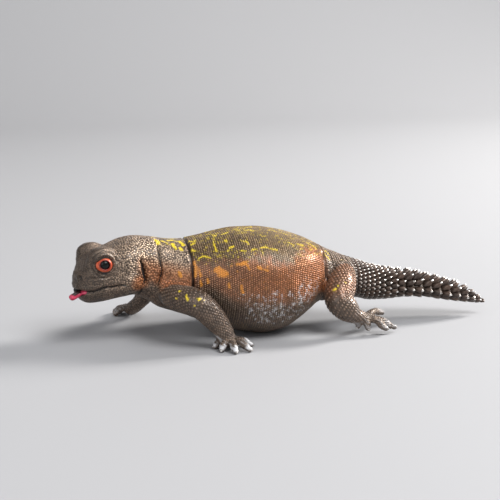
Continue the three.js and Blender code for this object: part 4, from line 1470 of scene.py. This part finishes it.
# Material, ground, how much brush, its colour, the relief it starts at, how much wash, and the slot
finishes = {
    "head_and_neck_scales": ("bronze brushed scales", BRONZE_GROUND, 0.75, PEARL, 0.35, 0.35, "bronze_paint"),
    "torso_scales": ("copper sprayed scales", BRONZE_GROUND, 0.6, PEARL, 0.35, 0.6, "copper_paint"),
    "hip_scales": ("bronze hip scales", BRONZE_GROUND, 0.7, PEARL, 0.4, 0.6, "bronze_paint"),
    "leg_scales": ("bronze leg scales", BRONZE_GROUND, 0.45, PEARL, 0.4, 0.5, "bronze_paint"),
    "toe_scales": ("graphite toe scales", GRAPHITE_GROUND, 0.5, PEARL, 0.4, 0.6, "graphite_paint"),
    "tail_spines": ("graphite tail spines", TAIL_GROUND, 1.6, WHITE_SILVER, 0.86, 0.7, "graphite_paint"),
}
for name, (*finish, slot) in finishes.items():
    coats[name].data.materials.append(painted_pvc(*finish))
skin.data.materials.append(painted_pvc("bronze skin", colour(104, 88, 76), 0.9, PEARL, 0.1, 0.35))

# %% Materials of the eyes, tongue and claws


def gloss(name, base, rough, coat_share=0.0):
    """A gloss lacquer with a little unevenness. The base makes its colour from the material's nodes."""
    material, m, shader = new_material(name)
    m.fill(shader, {
        "Base Color": base(m), "Roughness": m.ramp(m.noise(900), 0.3, 0.7, rough, rough + 0.06),
        "Coat Weight": coat_share, "Coat Roughness": 0.05,
    })
    return material


eye_black = gloss("gloss black eye", lambda m: m.mix(m.noise(500), colour(4, 4, 5), colour(12, 11, 11)), 0.08)
eye_black.node_tree.nodes["Principled BSDF"].inputs["Specular IOR Level"].default_value = 0.3
lid_orange = gloss(
    "orange lid paint",
    lambda m: m.mix(
        m.attribute("inner"),
        m.mottled(1200, 0.35, 0.7, colour(206, 82, 46), colour(230, 114, 76)),
        m.mix(m.attribute("corner"), colour(140, 38, 24), colour(70, 10, 12)),
    ),
    0.32, 0.2,
)
tongue_pink_with_painted_shade = gloss(
    "pink tongue paint with painted shade",
    lambda m: m.mix(
        m.attribute("top"),
        m.mottled(700, 0.35, 0.7, colour(176, 32, 66), colour(226, 66, 104)),
        colour(46, 10, 16),
    ),
    0.22, 0.5,
)
claw_silver = gloss(
    "silver touched claws",
    lambda m: m.mottled(1100, 0.4, 0.66, colour(96, 88, 82), colour(202, 198, 194)),
    0.4,
)
for node in ("eye_left", "eye_right"):
    bpy.data.objects[node + "_ball"].data.materials.append(eye_black)
    bpy.data.objects[node + "_lid"].data.materials.append(lid_orange)
tongue.data.materials.append(tongue_pink_with_painted_shade)
claws.data.materials.append(claw_silver)
print("materials", len(bpy.data.materials))

# %% [markdown]
# ## Floor and light
# The toy stands on a pale seamless sheet that rises behind it. One broad lamp from the right and a little
# behind throws the long soft shadow to the left. Two weaker lamps fill from above and from the front,
# and a pale world does the rest.

# %% Backdrop
SWEEP_FRONT, SWEEP_START, SWEEP_RADIUS, SWEEP_TOP, SWEEP_WIDTH = -1.6, 0.6, 0.5, 2.4, 3.0
profile = [(SWEEP_FRONT, 0), (SWEEP_START, 0)]
profile += [
    (SWEEP_START + SWEEP_RADIUS * math.sin(a), SWEEP_RADIUS * (1 - math.cos(a)))
    for a in np.linspace(0, math.pi / 2, 24)[1:]
]
profile.append((SWEEP_START + SWEEP_RADIUS, SWEEP_TOP))
sheet_points = [(x, y, z) for x in (-SWEEP_WIDTH, SWEEP_WIDTH) for y, z in profile]
many = len(profile)
sheet_faces = [(i, i + many, i + many + 1, i + 1) for i in range(many - 1)]
backdrop = new_mesh("backdrop", sheet_points, sheet_faces, 1.0)
smooth(backdrop)
paper, p, paper_shader = new_material("pale sheet")
p.fill(paper_shader, {"Base Color": colour(166, 166, 168), "Roughness": 0.55})
backdrop.data.materials.append(paper)

# %% Lights


def lamp(name, turn, rise, distance, size, power, tint=(1, 1, 1)):
    """A square lamp that faces the toy from these angles."""
    direction = from_angles(math.radians(turn), math.radians(rise))
    bpy.ops.object.light_add(type="AREA", location=direction * distance)
    light = bpy.context.object
    light.name = name
    light.rotation_euler = direction.to_track_quat("Z", "Y").to_euler()
    light.data.shape, light.data.size = "SQUARE", size
    light.data.energy, light.data.color = power, tint


lamp("key", 104, 27, 1.0, 0.24, 18, (1.0, 0.98, 0.95))
lamp("top", 38, 54, 1.1, 0.6, 10)
lamp("front", -50, 30, 1.2, 0.9, 3.6, (0.96, 0.98, 1.0))
world = bpy.data.worlds.new("studio")
world.use_nodes = True
world.node_tree.nodes["Background"].inputs["Color"].default_value = (0.86, 0.87, 0.9, 1)
world.node_tree.nodes["Background"].inputs["Strength"].default_value = 0.5
bpy.context.scene.world = world
bpy.context.scene.view_settings.view_transform = "Standard"
